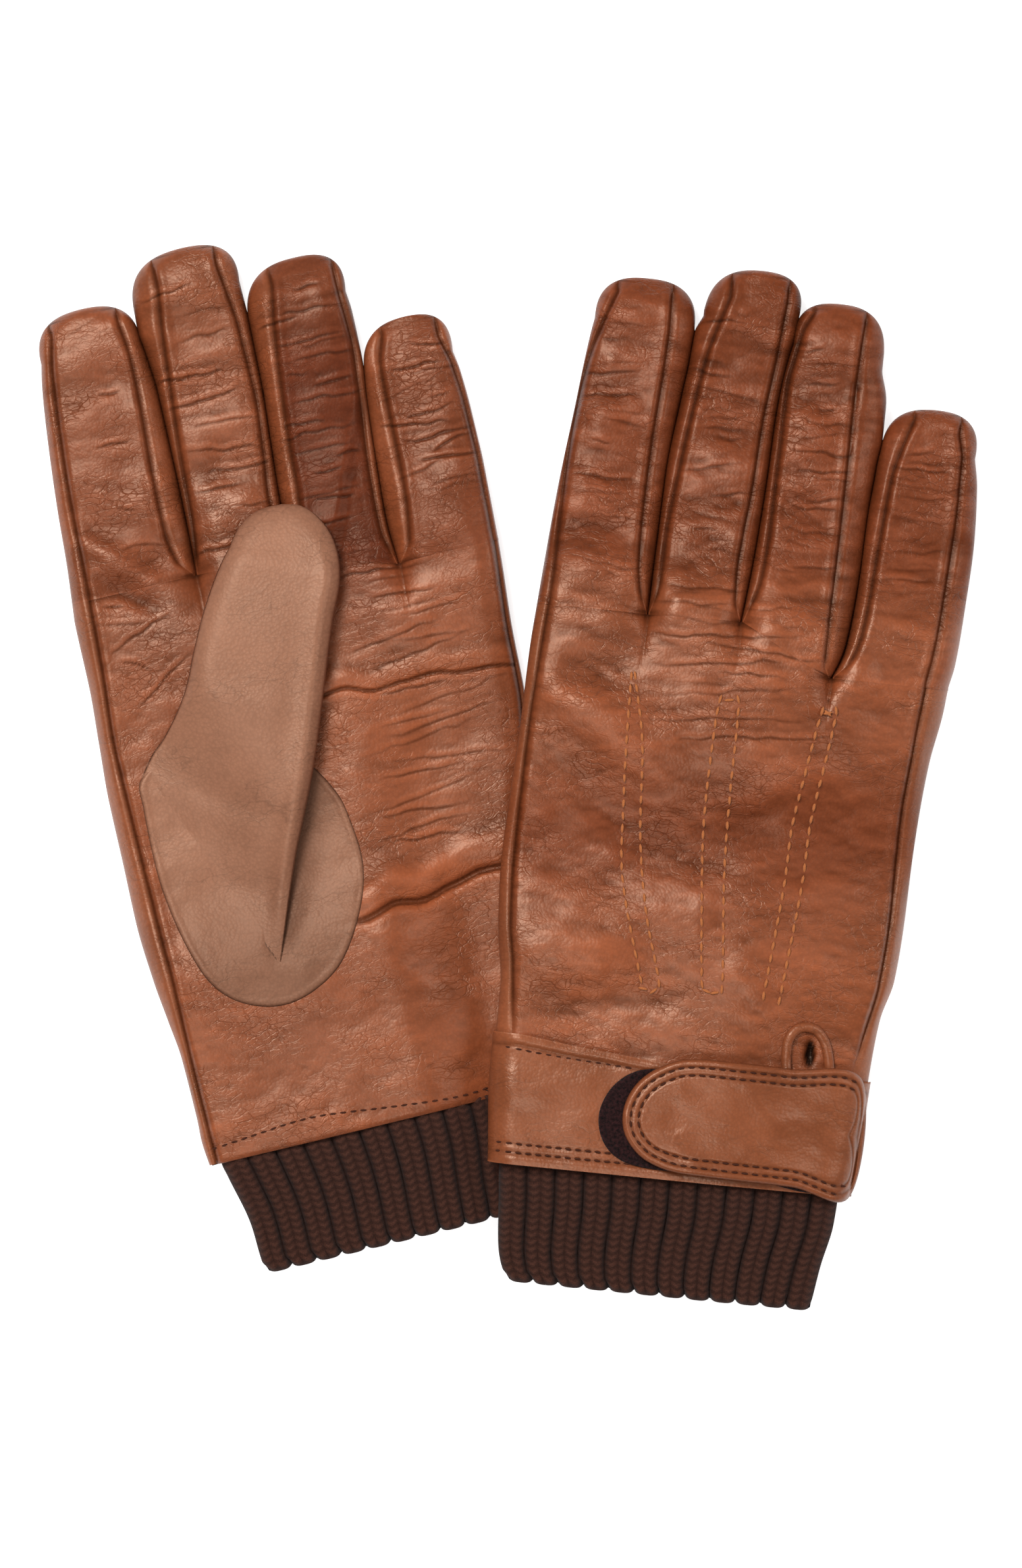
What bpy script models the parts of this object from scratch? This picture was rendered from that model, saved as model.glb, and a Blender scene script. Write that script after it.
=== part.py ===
# A pair of leather touchscreen gloves. The left glove lies palm up, the right glove lies back up
# and overlaps the left one's outer edge. Lengths below are millimetres and become metres at the end.
import math

import bpy
import numpy as np
from mathutils import Matrix, Vector

# ---- driving dimensions (mm) ----
LEATHER = 1.0          # wall of every glove leather
BAND = 1.0             # wrist band
LOOP = 0.8             # loop (soft) side of the closure
HOOK = 0.8             # hook side of the closure
STRAP = 1.6            # folded, stitched closure strap
KNIT = 1.3             # ribbed cuff
CLEAR = 0.35           # gap between stacked pieces
PALM_HALF = 7.0        # half thickness of the hand
FINGER_HALF = 5.5      # half thickness of a finger
WRIST_HALF = 5.6       # half thickness at the wrist
SIDE_R = 8.0           # width of the rounded side of a hand or finger
SEAM_IN = 3.5          # top and bottom seams lie this far in from the outline
SEAM_GAP = 1.1         # room left at each seam between two leathers
JOINT_GAP = 0.4        # room at each finger crease
FORK_GAP = 1.0         # between the two walls of the strip at each fork
CUFF_IN = 8.0          # knit cuff reaches this far inside the hem
CUFF_OUT = -31.0       # and ends here
TIP_ROUND = 9.0        # length over which a fingertip rounds off
THUMB_H = 9.4          # thickness of the folded thumb
PRESSED = 10.2         # the left glove's outer edge is pressed to this height
STRAP_DROP = 1.9       # the strap comes down this much from the hook patch to the band
STRAP_ROOT = 43.4      # closure strap hinges here, near the outer edge
STRAP_STACK = 5.85     # strap's outer face above the leather

# Outline of each glove along its own length: (v, u) pairs, u towards the little finger.
# "fork" is where two fingers part: (u, v). "crease" is where each finger bends.
RIGHT = {
    "prefix": "right_", "turn": -5.76, "at": (42.35, -104.5), "back_up": True,
    "edge_l": [(0, -47.9), (24, -49.8), (45, -49.4), (63, -52.1),
               (80, -53.0), (116, -51.6), (140, -51.0)],
    "edge_r": [(0, 48.0), (34, 50.2), (58, 54.7), (90, 55.7), (116, 57.8), (134, 60.4)],
    "forks": [(-20.9, 150.0), (4.0, 150.5), (29.2, 138.0)],
    "fingers": [
        {"name": "index", "crease": 186.0, "tip": 235.0,
         "l": [(140, -51.0), (158, -49.7), (179, -48.0), (201, -45.7), (222, -42.5), (235, -36.0)],
         "r": [(148, -21.2), (165, -20.8), (186, -20.6), (207, -18.0), (218, -17.0), (231, -19.6)]},
        {"name": "middle", "crease": 190.0, "tip": 240.5,
         "l": [(148, -20.5), (168, -19.6), (189, -18.6), (209, -16.6),
               (220, -14.9), (230, -12.6), (240, -6.0)],
         "r": [(148, 3.6), (165, 4.7), (185, 6.2), (206, 7.6), (224, 9.6), (230, 9.8), (238, 8.0)]},
        {"name": "ring", "crease": 187.0, "tip": 234.0,
         "l": [(149, 4.5), (166, 7.0), (185, 8.2), (210, 9.0), (222, 10.6), (231, 13.6), (234, 17.0)],
         "r": [(136, 28.8), (142, 30.6), (163, 33.0), (181, 33.9),
               (193, 34.8), (209, 35.1), (219, 33.6), (231, 30)]},
        {"name": "little", "crease": 172.0, "tip": 208.0,
         "l": [(136, 29.8), (145, 33.8), (165, 35.5), (181, 36.0),
               (193, 36.7), (204, 40.4), (208, 44.0)],
         "r": [(134, 60.4), (143, 62.1), (159, 63.3), (175, 63.6),
               (191, 62.9), (201, 61.0), (207, 56.0)]},
    ],
    "thumb_l": [(-41.5, 104.5), (-33.3, 111.0), (-24.1, 118.0),
                (-17.3, 127.0), (-9.4, 136.0), (-4.0, 140.0)],
    "thumb_r": [(-17.3, 47.3), (-8.6, 70.0), (1.0, 90.0), (10.5, 115.0), (14.0, 126.0), (9.5, 136.0)],
    "thumb_end": (3.5, 140.5),
}
LEFT = {
    "prefix": "left_", "turn": 13.5, "at": (-33.1, -90.1), "back_up": False,
    "edge_l": [(0, -48.2), (29, -48.7), (51, -51.3), (68, -52.4),
               (100, -52.0), (132, -49.7), (146, -49.6)],
    "edge_r": [(0, 48.0), (34, 49.8), (58, 54.0), (90, 60.0), (110, 63.1), (137, 64.8), (142, 65.2)],
    "forks": [(-14.9, 155.0), (10.8, 160.0), (38.3, 145.0)],
    "fingers": [
        {"name": "index", "crease": 186.0, "tip": 228.5,
         "l": [(146, -49.6), (164, -48.2), (180, -47.1), (195, -45.6),
               (211, -43.0), (221, -39.8), (228, -34.0)],
         "r": [(153, -15.2), (163, -14.9), (184, -14.5), (206, -14.3),
               (213, -14.8), (221, -16.6), (228, -21.0)]},
        {"name": "middle", "crease": 190.0, "tip": 237.5,
         "l": [(153, -14.6), (170, -14.0), (186, -13.4), (206, -13.2),
               (221, -13.6), (230, -11.6), (237, -6.0)],
         "r": [(160, 10.3), (185, 11.4), (201, 12.6), (215, 13.2),
               (224, 13.0), (230, 11.6), (237, 6.5)]},
        {"name": "ring", "crease": 188.0, "tip": 228.5,
         "l": [(160, 11.3), (180, 12.2), (196, 13.7), (210, 14.3),
               (219, 14.8), (224, 17.0), (228, 21.6)],
         "r": [(144, 37.8), (154, 37.0), (168, 37.2), (193, 39.4),
               (201, 40.6), (212, 41.2), (218, 40), (224, 36.2)]},
        {"name": "little", "crease": 172.0, "tip": 206.0,
         "l": [(144, 38.8), (154, 38.4), (172, 39.6), (189, 41.0),
               (196, 41.8), (203, 44.2), (206, 48.5)],
         "r": [(142, 65.2), (158, 66.0), (179, 66.3), (190, 66.0),
               (196, 65.0), (202, 62.0), (205, 57.0)]},
    ],
    "thumb_l": [(-41.5, 104.5), (-33.3, 113.3), (-24.1, 125.5),
                (-15.3, 143.2), (-9.4, 152.5), (-2.0, 160.5)],
    "thumb_r": [(-17.3, 47.3), (-6.6, 74.5), (4.6, 98.8), (17.1, 131.8), (22.4, 148.0), (19.5, 161.0)],
    "thumb_end": (10.5, 166.0),
}
OVAL = [(-41.5, 104.5), (-43.2, 95.9), (-43.6, 77.9), (-41.7, 63.1), (-37.8, 49.6), (-32.4, 42.0),
        (-24.4, 37.7), (-15.6, 37.0), (-5.6, 40.9), (1.3, 47.4), (7.6, 58.5), (10.4, 68.6), (9.9, 79.5),
        (7.7, 89.0), (4.4, 98.0), (-6.0, 107.0), (-20.0, 112.0), (-33.0, 111.0)]
STRAP_END = [(0.5, -3.0), (4.0, -9.5), (9.0, -13.0), (15.0, -14.5),
             (22.0, -12.8), (27.0, -9.0), (31.0, -2.0)]
LOOP_END = [(1.5, -8.0), (5.0, -15.5), (10.0, -19.6), (15.0, -20.7),
            (21.0, -18.4), (26.0, -14.0), (28.8, -7.0)]
HOOK_END = [(3.5, -4.0), (8.0, -9.5), (15.0, -11.5), (23.0, -9.0), (28.0, -3.0)]
VENT_AT = (33.4, 38.4)   # keyhole vent just above the wrist band
VENT_HOLE = (2.6, 4.2)
VENT_RING = (6.2, 6.2)
THUMB_HOLE = (11.0, 5.5)
HINGE_AXIS = (0.39, -0.92)   # direction of the thumb's root line
HINGE_OUT = (0.92, 0.39)     # and the way from it towards the thumb

COLOURS = {
    "leather": (0.30, 0.13, 0.07), "thumb": (0.42, 0.21, 0.14), "knit": (0.032, 0.013, 0.009),
    "loop": (0.012, 0.005, 0.004), "strap": (0.26, 0.10, 0.06), "side": (0.24, 0.10, 0.055),
}


def clear_scene():
    for thing in list(bpy.data.objects):
        bpy.data.objects.remove(thing)


def smooth(value, low, high):
    """0 below low, 1 above high, eased between."""
    t = min(max((value - low) / (high - low), 0.0), 1.0)
    return t * t * (3.0 - 2.0 * t)


def along(pairs, v):
    """The outline's u at v."""
    return float(np.interp(v, [p[0] for p in pairs], [p[1] for p in pairs]))


# ---- how high each glove lies ----
def half_thickness(v):
    wrist = WRIST_HALF + (PALM_HALF - WRIST_HALF) * smooth(v, 25.0, 75.0)
    return wrist + (FINGER_HALF - PALM_HALF) * smooth(v, 125.0, 185.0)


def under(hand, u, v):
    """Height of the underside away from the rounded edges."""
    if hand["back_up"]:
        lean = 0.06 + 0.94 * (1.0 - smooth(u, 8.0, 66.0))
        drop = 1.0 - smooth(v, 128.0, 226.0)
        return 0.6 + 10.3 * lean * drop
    stack = STRAP_STACK - STRAP_DROP * smooth(u, 22.0, 42.0)
    return stack * (1.0 - smooth(v, 45.0, 72.0)) + 0.35 * smooth(v, 145.0, 170.0)


def over(hand, u, v):
    """Height of the upper side away from the rounded edges."""
    top = under(hand, u, v) + 2.0 * half_thickness(v)
    if hand["back_up"]:
        return top
    press = smooth(u, 10.0, 36.0) * (1.0 - smooth(v, 92.0, 140.0))
    return top + (min(top, PRESSED) - top) * press


def surface(hand, u, v, near, side, lift=0.0):
    """Height of the glove surface: near is the distance in from the outline, side +1 up or -1 down."""
    low, high = under(hand, u, v), over(hand, u, v)
    middle = 0.5 * (low + high)
    inset = min(max(SIDE_R - near, 0.0) / SIDE_R, 1.0)
    crown = math.sqrt(max(1.0 - inset * inset, 0.0))
    return middle + side * (0.5 * (high - low) * crown + lift)


def hand_near(hand, u, v):
    return min(u - along(hand["edge_l"], v), along(hand["edge_r"], v) - u)


def finger_near(finger, u, v):
    return min(u - along(finger["l"], v), along(finger["r"], v) - u)


def skin_height(hand, index, u, v, side, lift=0.0):
    """Height on a panel in the strip of one finger, which sinks between the fingers near a fork."""
    finger = hand["fingers"][index]
    base = min(fork_line(hand, index, 0.0), fork_line(hand, index, 1.0))
    blend = smooth(v, base - 26.0, base - 2.0)
    broad = surface(hand, u, v, hand_near(hand, u, min(v, 134.0)), side, lift)
    own = surface(hand, u, v, finger_near(finger, u, v), side, lift)
    return broad + (own - broad) * blend


# ---- mesh helpers ----
def place(hand, u, v, z):
    """Local millimetres to metres in the shared frame."""
    c, s = math.cos(math.radians(hand["turn"])), math.sin(math.radians(hand["turn"]))
    x = hand["at"][0] + u * c - v * s
    y = hand["at"][1] + u * s + v * c
    return (x * 0.001, y * 0.001, z * 0.001)


def material(name):
    made = bpy.data.materials.new(name)
    made.use_nodes = True
    shader = made.node_tree.nodes["Principled BSDF"]
    shader.inputs["Base Color"].default_value = (*COLOURS[name.split("-")[-1]], 1.0)
    shader.inputs["Roughness"].default_value = 0.6
    return made


def add_object(name, points, faces, colour):
    mesh = bpy.data.meshes.new(name)
    mesh.from_pydata(points, [], faces)
    mesh.update()
    made = bpy.data.objects.new(name, mesh)
    bpy.context.scene.collection.objects.link(made)
    made.data.materials.append(material(name + "-" + colour))
    mesh.shade_smooth()
    return made


def set_origin(thing, point):
    """Put the origin of a moving piece on its joint's axis without moving its shape."""
    thing.data.transform(Matrix.Translation(-Vector(point)))
    thing.location = point


def thicken(thing, wall_mm, offset):
    """Give a sheet its thickness, inwards for offset -1 and outwards for +1."""
    shell = thing.modifiers.new("wall", "SOLIDIFY")
    shell.thickness = wall_mm * 0.001
    shell.offset = offset
    shell.use_even_offset = True


def grid_faces(rows, columns, first=0, flip=False, closed=False):
    faces = []
    wide = columns if closed else columns - 1
    for r in range(rows - 1):
        for c in range(wide):
            a = first + r * columns + c
            b = first + r * columns + (c + 1) % columns
            quad = (a, b, b + columns, a + columns)
            faces.append(quad[::-1] if flip else quad)
    return faces


def cut(thing, cutter, way="DIFFERENCE"):
    step = thing.modifiers.new(way.lower(), "BOOLEAN")
    step.operation = way
    step.solver = "EXACT"
    step.object = cutter


def prism(hand, name, outline, low, high):
    """An upright cutter over a closed outline of (u, v)."""
    count = len(outline)
    points = [place(hand, u, v, low) for u, v in outline]
    points += [place(hand, u, v, high) for u, v in outline]
    faces = [tuple(range(count))[::-1], tuple(range(count, 2 * count))]
    for i in range(count):
        j = (i + 1) % count
        faces.append((i, j, j + count, i + count))
    made = add_object(name, points, faces, "side")
    make_outward(made, outline)
    made.hide_render = True
    made.display_type = "WIRE"
    return made


def make_outward(thing, outline):
    """Turn the faces over when the outline runs clockwise."""
    area = sum(a[0] * b[1] - b[0] * a[1] for a, b in zip(outline, outline[1:] + outline[:1], strict=True))
    if area < 0.0:
        thing.data.flip_normals()


def ellipse(centre, radii, turn=0.0, count=20):
    points = []
    for k in range(count):
        a = 2.0 * math.pi * k / count
        x, y = radii[0] * math.cos(a), radii[1] * math.sin(a)
        points.append((centre[0] + x * math.cos(turn) - y * math.sin(turn),
                       centre[1] + x * math.sin(turn) + y * math.cos(turn)))
    return points


def shrunk(outline, inset):
    """The outline pulled towards its middle by about inset."""
    middle = np.mean(np.array(outline), axis=0)
    result = []
    for point in outline:
        arm = np.array(point) - middle
        reach = np.linalg.norm(arm)
        result.append(tuple(middle + arm * (reach - inset) / reach))
    return result


# ---- panels ----
def fork_line(hand, index, share):
    """v of the foot of a finger, share 0 at its left and 1 at its right."""
    forks = hand["forks"]
    left = forks[index - 1][1] if index > 0 else forks[0][1] - 3.0
    right = forks[index][1] if index < 3 else forks[2][1] - 3.0
    return left + (right - left) * share - SEAM_IN


def strip_edges(hand, index, v):
    """Seam lines at both sides of a finger's strip."""
    finger = hand["fingers"][index]
    return along(finger["l"], v) + SEAM_IN, along(finger["r"], v) - SEAM_IN


def foot_points(hand, across):
    """Points where the hand ends and the finger strips begin, left to right, with their finger."""
    points = []
    for index in range(4):
        for k in range(across):
            share = k / (across - 1)
            v = fork_line(hand, index, share)
            low, high = strip_edges(hand, index, v)
            points.append((index, low + (high - low) * share, v))
    return points


def panel_rows(hand, across, rows_hand, rows_finger, start, extra_left=0.0, extra_right=0.0):
    """Plan points of a panel: hand rows, then each finger's rows. Extra widens its two long edges."""
    foot = foot_points(hand, across)
    hand_rows = []
    for r in range(rows_hand):
        t = r / (rows_hand - 1)
        row = []
        for index, u, v in foot:
            low = along(hand["edge_l"], v) + SEAM_IN
            high = along(hand["edge_r"], v) - SEAM_IN
            share = (u - low) / (high - low)
            here = start + (v - start) * t
            a = along(hand["edge_l"], here) + SEAM_IN - extra_left
            b = along(hand["edge_r"], here) - SEAM_IN + extra_right
            row.append((index, a + (b - a) * share if r < rows_hand - 1 else u, here))
        hand_rows.append(row)
    finger_rows = []
    for index in range(4):
        crease = hand["fingers"][index]["crease"] - 0.5 * JOINT_GAP
        rows = []
        for r in range(1, rows_finger + 1):
            row = []
            for k in range(across):
                share = k / (across - 1)
                foot_v = fork_line(hand, index, share)
                v = foot_v + (crease - foot_v) * r / rows_finger
                low, high = strip_edges(hand, index, v)
                row.append((index, low + (high - low) * share, v))
            rows.append(row)
        finger_rows.append(rows)
    return hand_rows, finger_rows


def panel(hand, name, side, colour):
    """One big leather: hand and four finger strips, +1 on the upper or -1 on the under side."""
    across, rows_hand, rows_finger = 5, 11, 4
    hand_rows, finger_rows = panel_rows(hand, across, rows_hand, rows_finger, 0.0)
    points = []
    for row in hand_rows:
        points += [(u, v, skin_height(hand, i, u, v, side)) for i, u, v in row]
    wide = 4 * across
    faces = grid_faces(rows_hand, wide, 0, side < 0)
    last = (rows_hand - 1) * wide
    for index in range(4):
        first = len(points)
        for row in finger_rows[index]:
            points += [(u, v, skin_height(hand, i, u, v, side)) for i, u, v in row]
        join = [last + index * across + k for k in range(across)]
        for k in range(across - 1):
            quad = (join[k], join[k + 1], first + k + 1, first + k)
            faces.append(quad[::-1] if side < 0 else quad)
        faces += grid_faces(rows_finger, across, first, side < 0)
    made = add_object(hand["prefix"] + name, [place(hand, *p) for p in points], faces, colour)
    thicken(made, LEATHER, -1.0)
    return made


def wall_point(hand, u, v, way, turn):
    """A point of a rounded side: turn 0 at the upper seam, 90 degrees at the outline, 180 underneath."""
    inset = SIDE_R * (1.0 - math.sin(turn))
    x, y = u + way[0] * inset, v + way[1] * inset
    low, high = under(hand, x, y), over(hand, x, y)
    return (x, y, 0.5 * (low + high) + 0.5 * (high - low) * math.cos(turn))


def wall_turns(count=7):
    start = math.asin((SIDE_R - SEAM_IN + SEAM_GAP) / SIDE_R)
    return [start + (math.pi - 2.0 * start) * k / (count - 1) for k in range(count)]


def wall(hand, name, path, flip, colour):
    """A sheet along a path of (u, v, inward way), rounded from the upper seam to the lower one."""
    turns = wall_turns()
    points = []
    for u, v, way in path:
        points += [place(hand, *wall_point(hand, u, v, way, turn)) for turn in turns]
    faces = grid_faces(len(path), len(turns), 0, flip)
    made = add_object(hand["prefix"] + name, points, faces, colour)
    thicken(made, LEATHER, -1.0)
    return made


def side_wall(hand, name, left):
    """The long strip up the outside of the hand and its outer finger."""
    finger = hand["fingers"][0 if left else 3]
    edge = hand["edge_l"] if left else hand["edge_r"]
    outer = finger["l"] if left else finger["r"]
    way = (1.0, 0.0) if left else (-1.0, 0.0)
    top = finger["crease"] - 0.5 * JOINT_GAP
    foot = outer[0][0]
    levels = [foot * k / 8 for k in range(8)] + [foot + (top - foot) * k / 4 for k in range(5)]
    path = [(along(edge if v < foot else outer, v), v, way) for v in levels]
    return wall(hand, name, path, left, "side")


def fork_sides(hand, index, v):
    """Where the strip between two fingers stands at v: u on the first finger and u on the second."""
    first, second = hand["fingers"][index], hand["fingers"][index + 1]
    a, b = along(first["r"], v), along(second["l"], v)
    spread = max(0.5 * FORK_GAP - 0.5 * (b - a), 0.0)
    return a - spread, b + spread


def fourchette(hand, index):
    """The strip between two fingers: down one side, round the fork and up the other."""
    first, second = hand["fingers"][index], hand["fingers"][index + 1]
    fork_u, fork_v = hand["forks"][index]
    low = fork_v + 3.0
    path = []
    top = first["crease"] - 0.5 * JOINT_GAP
    for k in range(5):
        v = top + (low - top) * k / 4
        path.append((fork_sides(hand, index, v)[0], v, (-1.0, 0.0)))
    for turn in (-60, -30, 0, 30, 60):
        x, y = math.sin(math.radians(turn)), -math.cos(math.radians(turn))
        path.append((fork_u + 0.5 * FORK_GAP * x, fork_v + 0.8 + 0.5 * FORK_GAP * y, (x, y)))
    top = second["crease"] - 0.5 * JOINT_GAP
    for k in range(5):
        v = low + (top - low) * k / 4
        path.append((fork_sides(hand, index, v)[1], v, (1.0, 0.0)))
    name = "fourchette_" + first["name"] + "_" + second["name"]
    return wall(hand, name, path, True, "side")


# ---- fingers beyond the crease ----
def ring_shape():
    """Unit section of a flattened tube: (share of the flat half width, side turn or None, side)."""
    shape = [("flat", s, 1) for s in (-1.0, 0.0, 1.0)]
    shape += [("right", math.radians(a), 0) for a in (30, 60, 90, 120, 150)]
    shape += [("flat", s, -1) for s in (1.0, 0.0, -1.0)]
    shape += [("left", math.radians(a), 0) for a in (150, 120, 90, 60, 30)]
    return shape


def tube_ring(low_u, high_u, low_z, high_z, radius):
    """One closed section, clockwise seen from the fingertip, as (u, z)."""
    middle, half = 0.5 * (low_z + high_z), 0.5 * (high_z - low_z)
    radius = min(radius, 0.49 * (high_u - low_u))
    ring = []
    for kind, value, side in ring_shape():
        if kind == "flat":
            u = 0.5 * (low_u + high_u) + value * (0.5 * (high_u - low_u) - radius)
            ring.append((u, middle + side * half))
        elif kind == "right":
            ring.append((high_u - radius * (1.0 - math.sin(value)), middle + half * math.cos(value)))
        else:
            ring.append((low_u + radius * (1.0 - math.sin(value)), middle + half * math.cos(value)))
    return ring


def fingertip(hand, index):
    """The hollow end of a finger from its crease to its squared-off tip."""
    finger = hand["fingers"][index]
    start, tip = finger["crease"] + 0.5 * JOINT_GAP, finger["tip"]
    levels = [start + (tip - TIP_ROUND - start) * k / 3 for k in range(4)]
    levels += [tip - TIP_ROUND * s for s in (0.62, 0.32, 0.12, 0.0)]
    points, count = [], len(ring_shape())
    for v in levels:
        low_u, high_u = along(finger["l"], v), along(finger["r"], v)
        centre = 0.5 * (low_u + high_u)
        low_z, high_z = under(hand, centre, v), over(hand, centre, v)
        near = min((tip - v) / TIP_ROUND, 1.0)
        swell = math.sqrt(max(1.0 - (1.0 - near) ** 2, 0.0)) * 0.78 + 0.22
        middle, half = 0.5 * (low_z + high_z), 0.5 * (high_z - low_z) * swell
        width = 0.5 * (high_u - low_u) * (0.93 + 0.07 * near)
        for u, z in tube_ring(centre - width, centre + width, middle - half, middle + half, SIDE_R):
            points.append((u, v, z))
    faces = grid_faces(len(levels), count, 0, False, True)
    faces.append(tuple(range((len(levels) - 1) * count, len(levels) * count)))
    placed = [place(hand, *p) for p in points]
    made = add_object(hand["prefix"] + finger["name"] + "_tip", placed, faces, "leather")
    crease = finger["crease"]
    centre = 0.5 * (along(finger["l"], crease) + along(finger["r"], crease))
    level = under(hand, centre, crease) if hand["back_up"] else over(hand, centre, crease)
    set_origin(made, place(hand, centre, crease, level + 0.1 * palm_side(hand)))
    thicken(made, LEATHER, -1.0)
    return made


# ---- wrist ----
def knit_cuff(hand):
    """The ribbed tube that starts inside the hem and closes round the wrist."""
    levels = [CUFF_IN, 4.0, -0.8, -7.0, -14.0, -22.0, CUFF_OUT]
    gather = [0.0, 0.0, 0.4, 0.8, 1.4, 2.2, 3.8]
    points, count = [], len(cuff_columns())
    for v, narrow in zip(levels, gather, strict=True):
        at = max(v, 0.0)
        low_u, high_u = along(hand["edge_l"], at) + 3.6, along(hand["edge_r"], at) - 4.8
        middle, reach = 0.5 * (low_u + high_u), 0.5 * (high_u - low_u)
        for share, side in cuff_columns():
            u = middle + share * reach
            top = surface(hand, u, at, hand_near(hand, u, at), 1, -LEATHER - 0.6)
            bottom = surface(hand, u, at, hand_near(hand, u, at), -1, -LEATHER - 0.6)
            z = {1: top, 0: 0.5 * (top + bottom), -1: bottom}[side]
            points.append((middle + share * (reach - narrow), v, z))
    faces = grid_faces(len(levels), count, 0, True, True)
    made = add_object(hand["prefix"] + "knit_cuff", [place(hand, *p) for p in points], faces, "knit")
    thicken(made, KNIT, -1.0)
    return made


def cuff_columns():
    shares = (-1.0, -0.96, -0.88, -0.66, -0.33, 0.0, 0.33, 0.66, 0.88, 0.96, 1.0)
    columns = [(s, 1) for s in shares] + [(1.03, 0)]
    columns += [(s, -1) for s in shares[::-1]] + [(-1.03, 0)]
    return columns


def back_side(hand):
    return 1 if hand["back_up"] else -1


def wrist_sheet(hand, name, left_end, right_end, rows, columns, lift, wall_mm, colour):
    """A sheet lying on the back of the wrist; lift is its distance off the leather at each u."""
    side = back_side(hand)
    points = []
    for r in range(rows):
        low_v, high_v = left_end[0][0], left_end[-1][0]
        v = low_v + (high_v - low_v) * r / (rows - 1)
        start = along(left_end, v)
        for k in range(columns):
            u = start + (right_end - start) * k / (columns - 1)
            near = hand_near(hand, u, v)
            points.append((u, v, surface(hand, u, v, near, side, lift(u))))
    faces = grid_faces(rows, columns, 0, side < 0)
    made = add_object(hand["prefix"] + name, [place(hand, *p) for p in points], faces, colour)
    thicken(made, wall_mm, 1.0)
    return made


def strap_lift(u):
    """The strap lies on the hook patch near its free end and on the band near its root."""
    return STRAP_STACK - STRAP - STRAP_DROP * smooth(u, 22.0, 42.0)


def closure(hand):
    band_end = [(0.6, -43.6), (31.0, -45.0)]
    wrist_sheet(hand, "wrist_band", band_end, 43.8, 4, 16, lambda u: 0.55, BAND, "strap")
    wrist_sheet(hand, "loop_patch", LOOP_END, 16.0, 9, 6, lambda u: 0.55 + BAND + CLEAR, LOOP, "loop")
    hook_lift = STRAP_STACK - STRAP - CLEAR - HOOK
    hook = wrist_sheet(hand, "hook_patch", HOOK_END, 14.0, 7, 5, lambda u: hook_lift, HOOK, "loop")
    strap = wrist_sheet(hand, "closure_strap", STRAP_END, STRAP_ROOT, 9, 14, strap_lift, STRAP, "strap")
    root = strap_hinge(hand)
    set_origin(hook, root)
    set_origin(strap, root)


def strap_hinge(hand):
    """A point on the line that the strap opens about: its root, level with its outer face."""
    side, u = back_side(hand), STRAP_ROOT + 0.05
    levels = []
    for v in (0.5, 8.0, 16.0, 24.0, 31.0):
        levels.append(side * surface(hand, u, v, hand_near(hand, u, v), side, strap_lift(u) + STRAP))
    return place(hand, u, 15.5, side * (max(levels) + 0.1))


def vent(hand, back):
    """The small keyhole vent above the band: a hole in the back leather and its rolled binding."""
    side = back_side(hand)
    middle = surface(hand, VENT_AT[0], VENT_AT[1], 20.0, side)
    hole = ellipse(VENT_AT, VENT_HOLE)
    cutter = prism(hand, hand["prefix"] + "vent_cutter", hole, middle - 4.0, middle + 4.0)
    cut(back, cutter)
    points, count = [], 20
    for share in (0.0, 1.0):
        radii = [a + (b - a) * share for a, b in zip((3.0, 4.4), VENT_RING, strict=True)]
        for u, v in ellipse(VENT_AT, radii, 0.0, count):
            points.append((u, v, surface(hand, u, v, hand_near(hand, u, v), side, 0.9)))
    faces = grid_faces(2, count, 0, side > 0, True)
    made = add_object(hand["prefix"] + "vent_binding", [place(hand, *p) for p in points], faces, "side")
    thicken(made, 1.2, 1.0)
    return made


# ---- thumb ----
def palm_side(hand):
    return -back_side(hand)


def palm_level(hand, u, v):
    """Flat palm height used to lay the thumb down."""
    side = palm_side(hand)
    return surface(hand, u, v, 20.0, side)


def thumb_gusset(hand, palm):
    """The oval leather set into the palm under the thumb, with the way through into the thumb."""
    side = palm_side(hand)
    middle = 0.5 * (under(hand, 0.0, 80.0) + over(hand, 0.0, 80.0))
    low, high = (middle, middle + 14.0) if side > 0 else (middle - 14.0, middle)
    gusset = palm.copy()
    gusset.data = palm.data.copy()
    gusset.name = hand["prefix"] + "thumb_gusset"
    gusset.data.name = gusset.name
    gusset.data.materials.clear()
    gusset.data.materials.append(material(gusset.name + "-thumb"))
    bpy.context.scene.collection.objects.link(gusset)
    cut(palm, prism(hand, hand["prefix"] + "oval_cutter", OVAL, low, high))
    inner = prism(hand, hand["prefix"] + "gusset_keep", shrunk(OVAL, 0.5), low - 0.3, high + 0.3)
    cut(gusset, inner, "INTERSECT")
    return gusset


def thumb_opening(hand, things):
    """The way from the palm into the thumb, cut through the gusset and the thumb's underside."""
    side = palm_side(hand)
    turn = math.atan2(HINGE_AXIS[1], HINGE_AXIS[0])
    centre = (-29.4 + HINGE_OUT[0] * 23.0, 75.9 + HINGE_OUT[1] * 23.0)
    level = palm_level(hand, *centre)
    low, high = sorted((level - side * 4.0, level + side * 3.4))
    hole = ellipse(centre, THUMB_HOLE, turn)
    cutter = prism(hand, hand["prefix"] + "thumb_way_cutter", hole, low, high)
    for thing in things:
        cut(thing, cutter)


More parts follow.
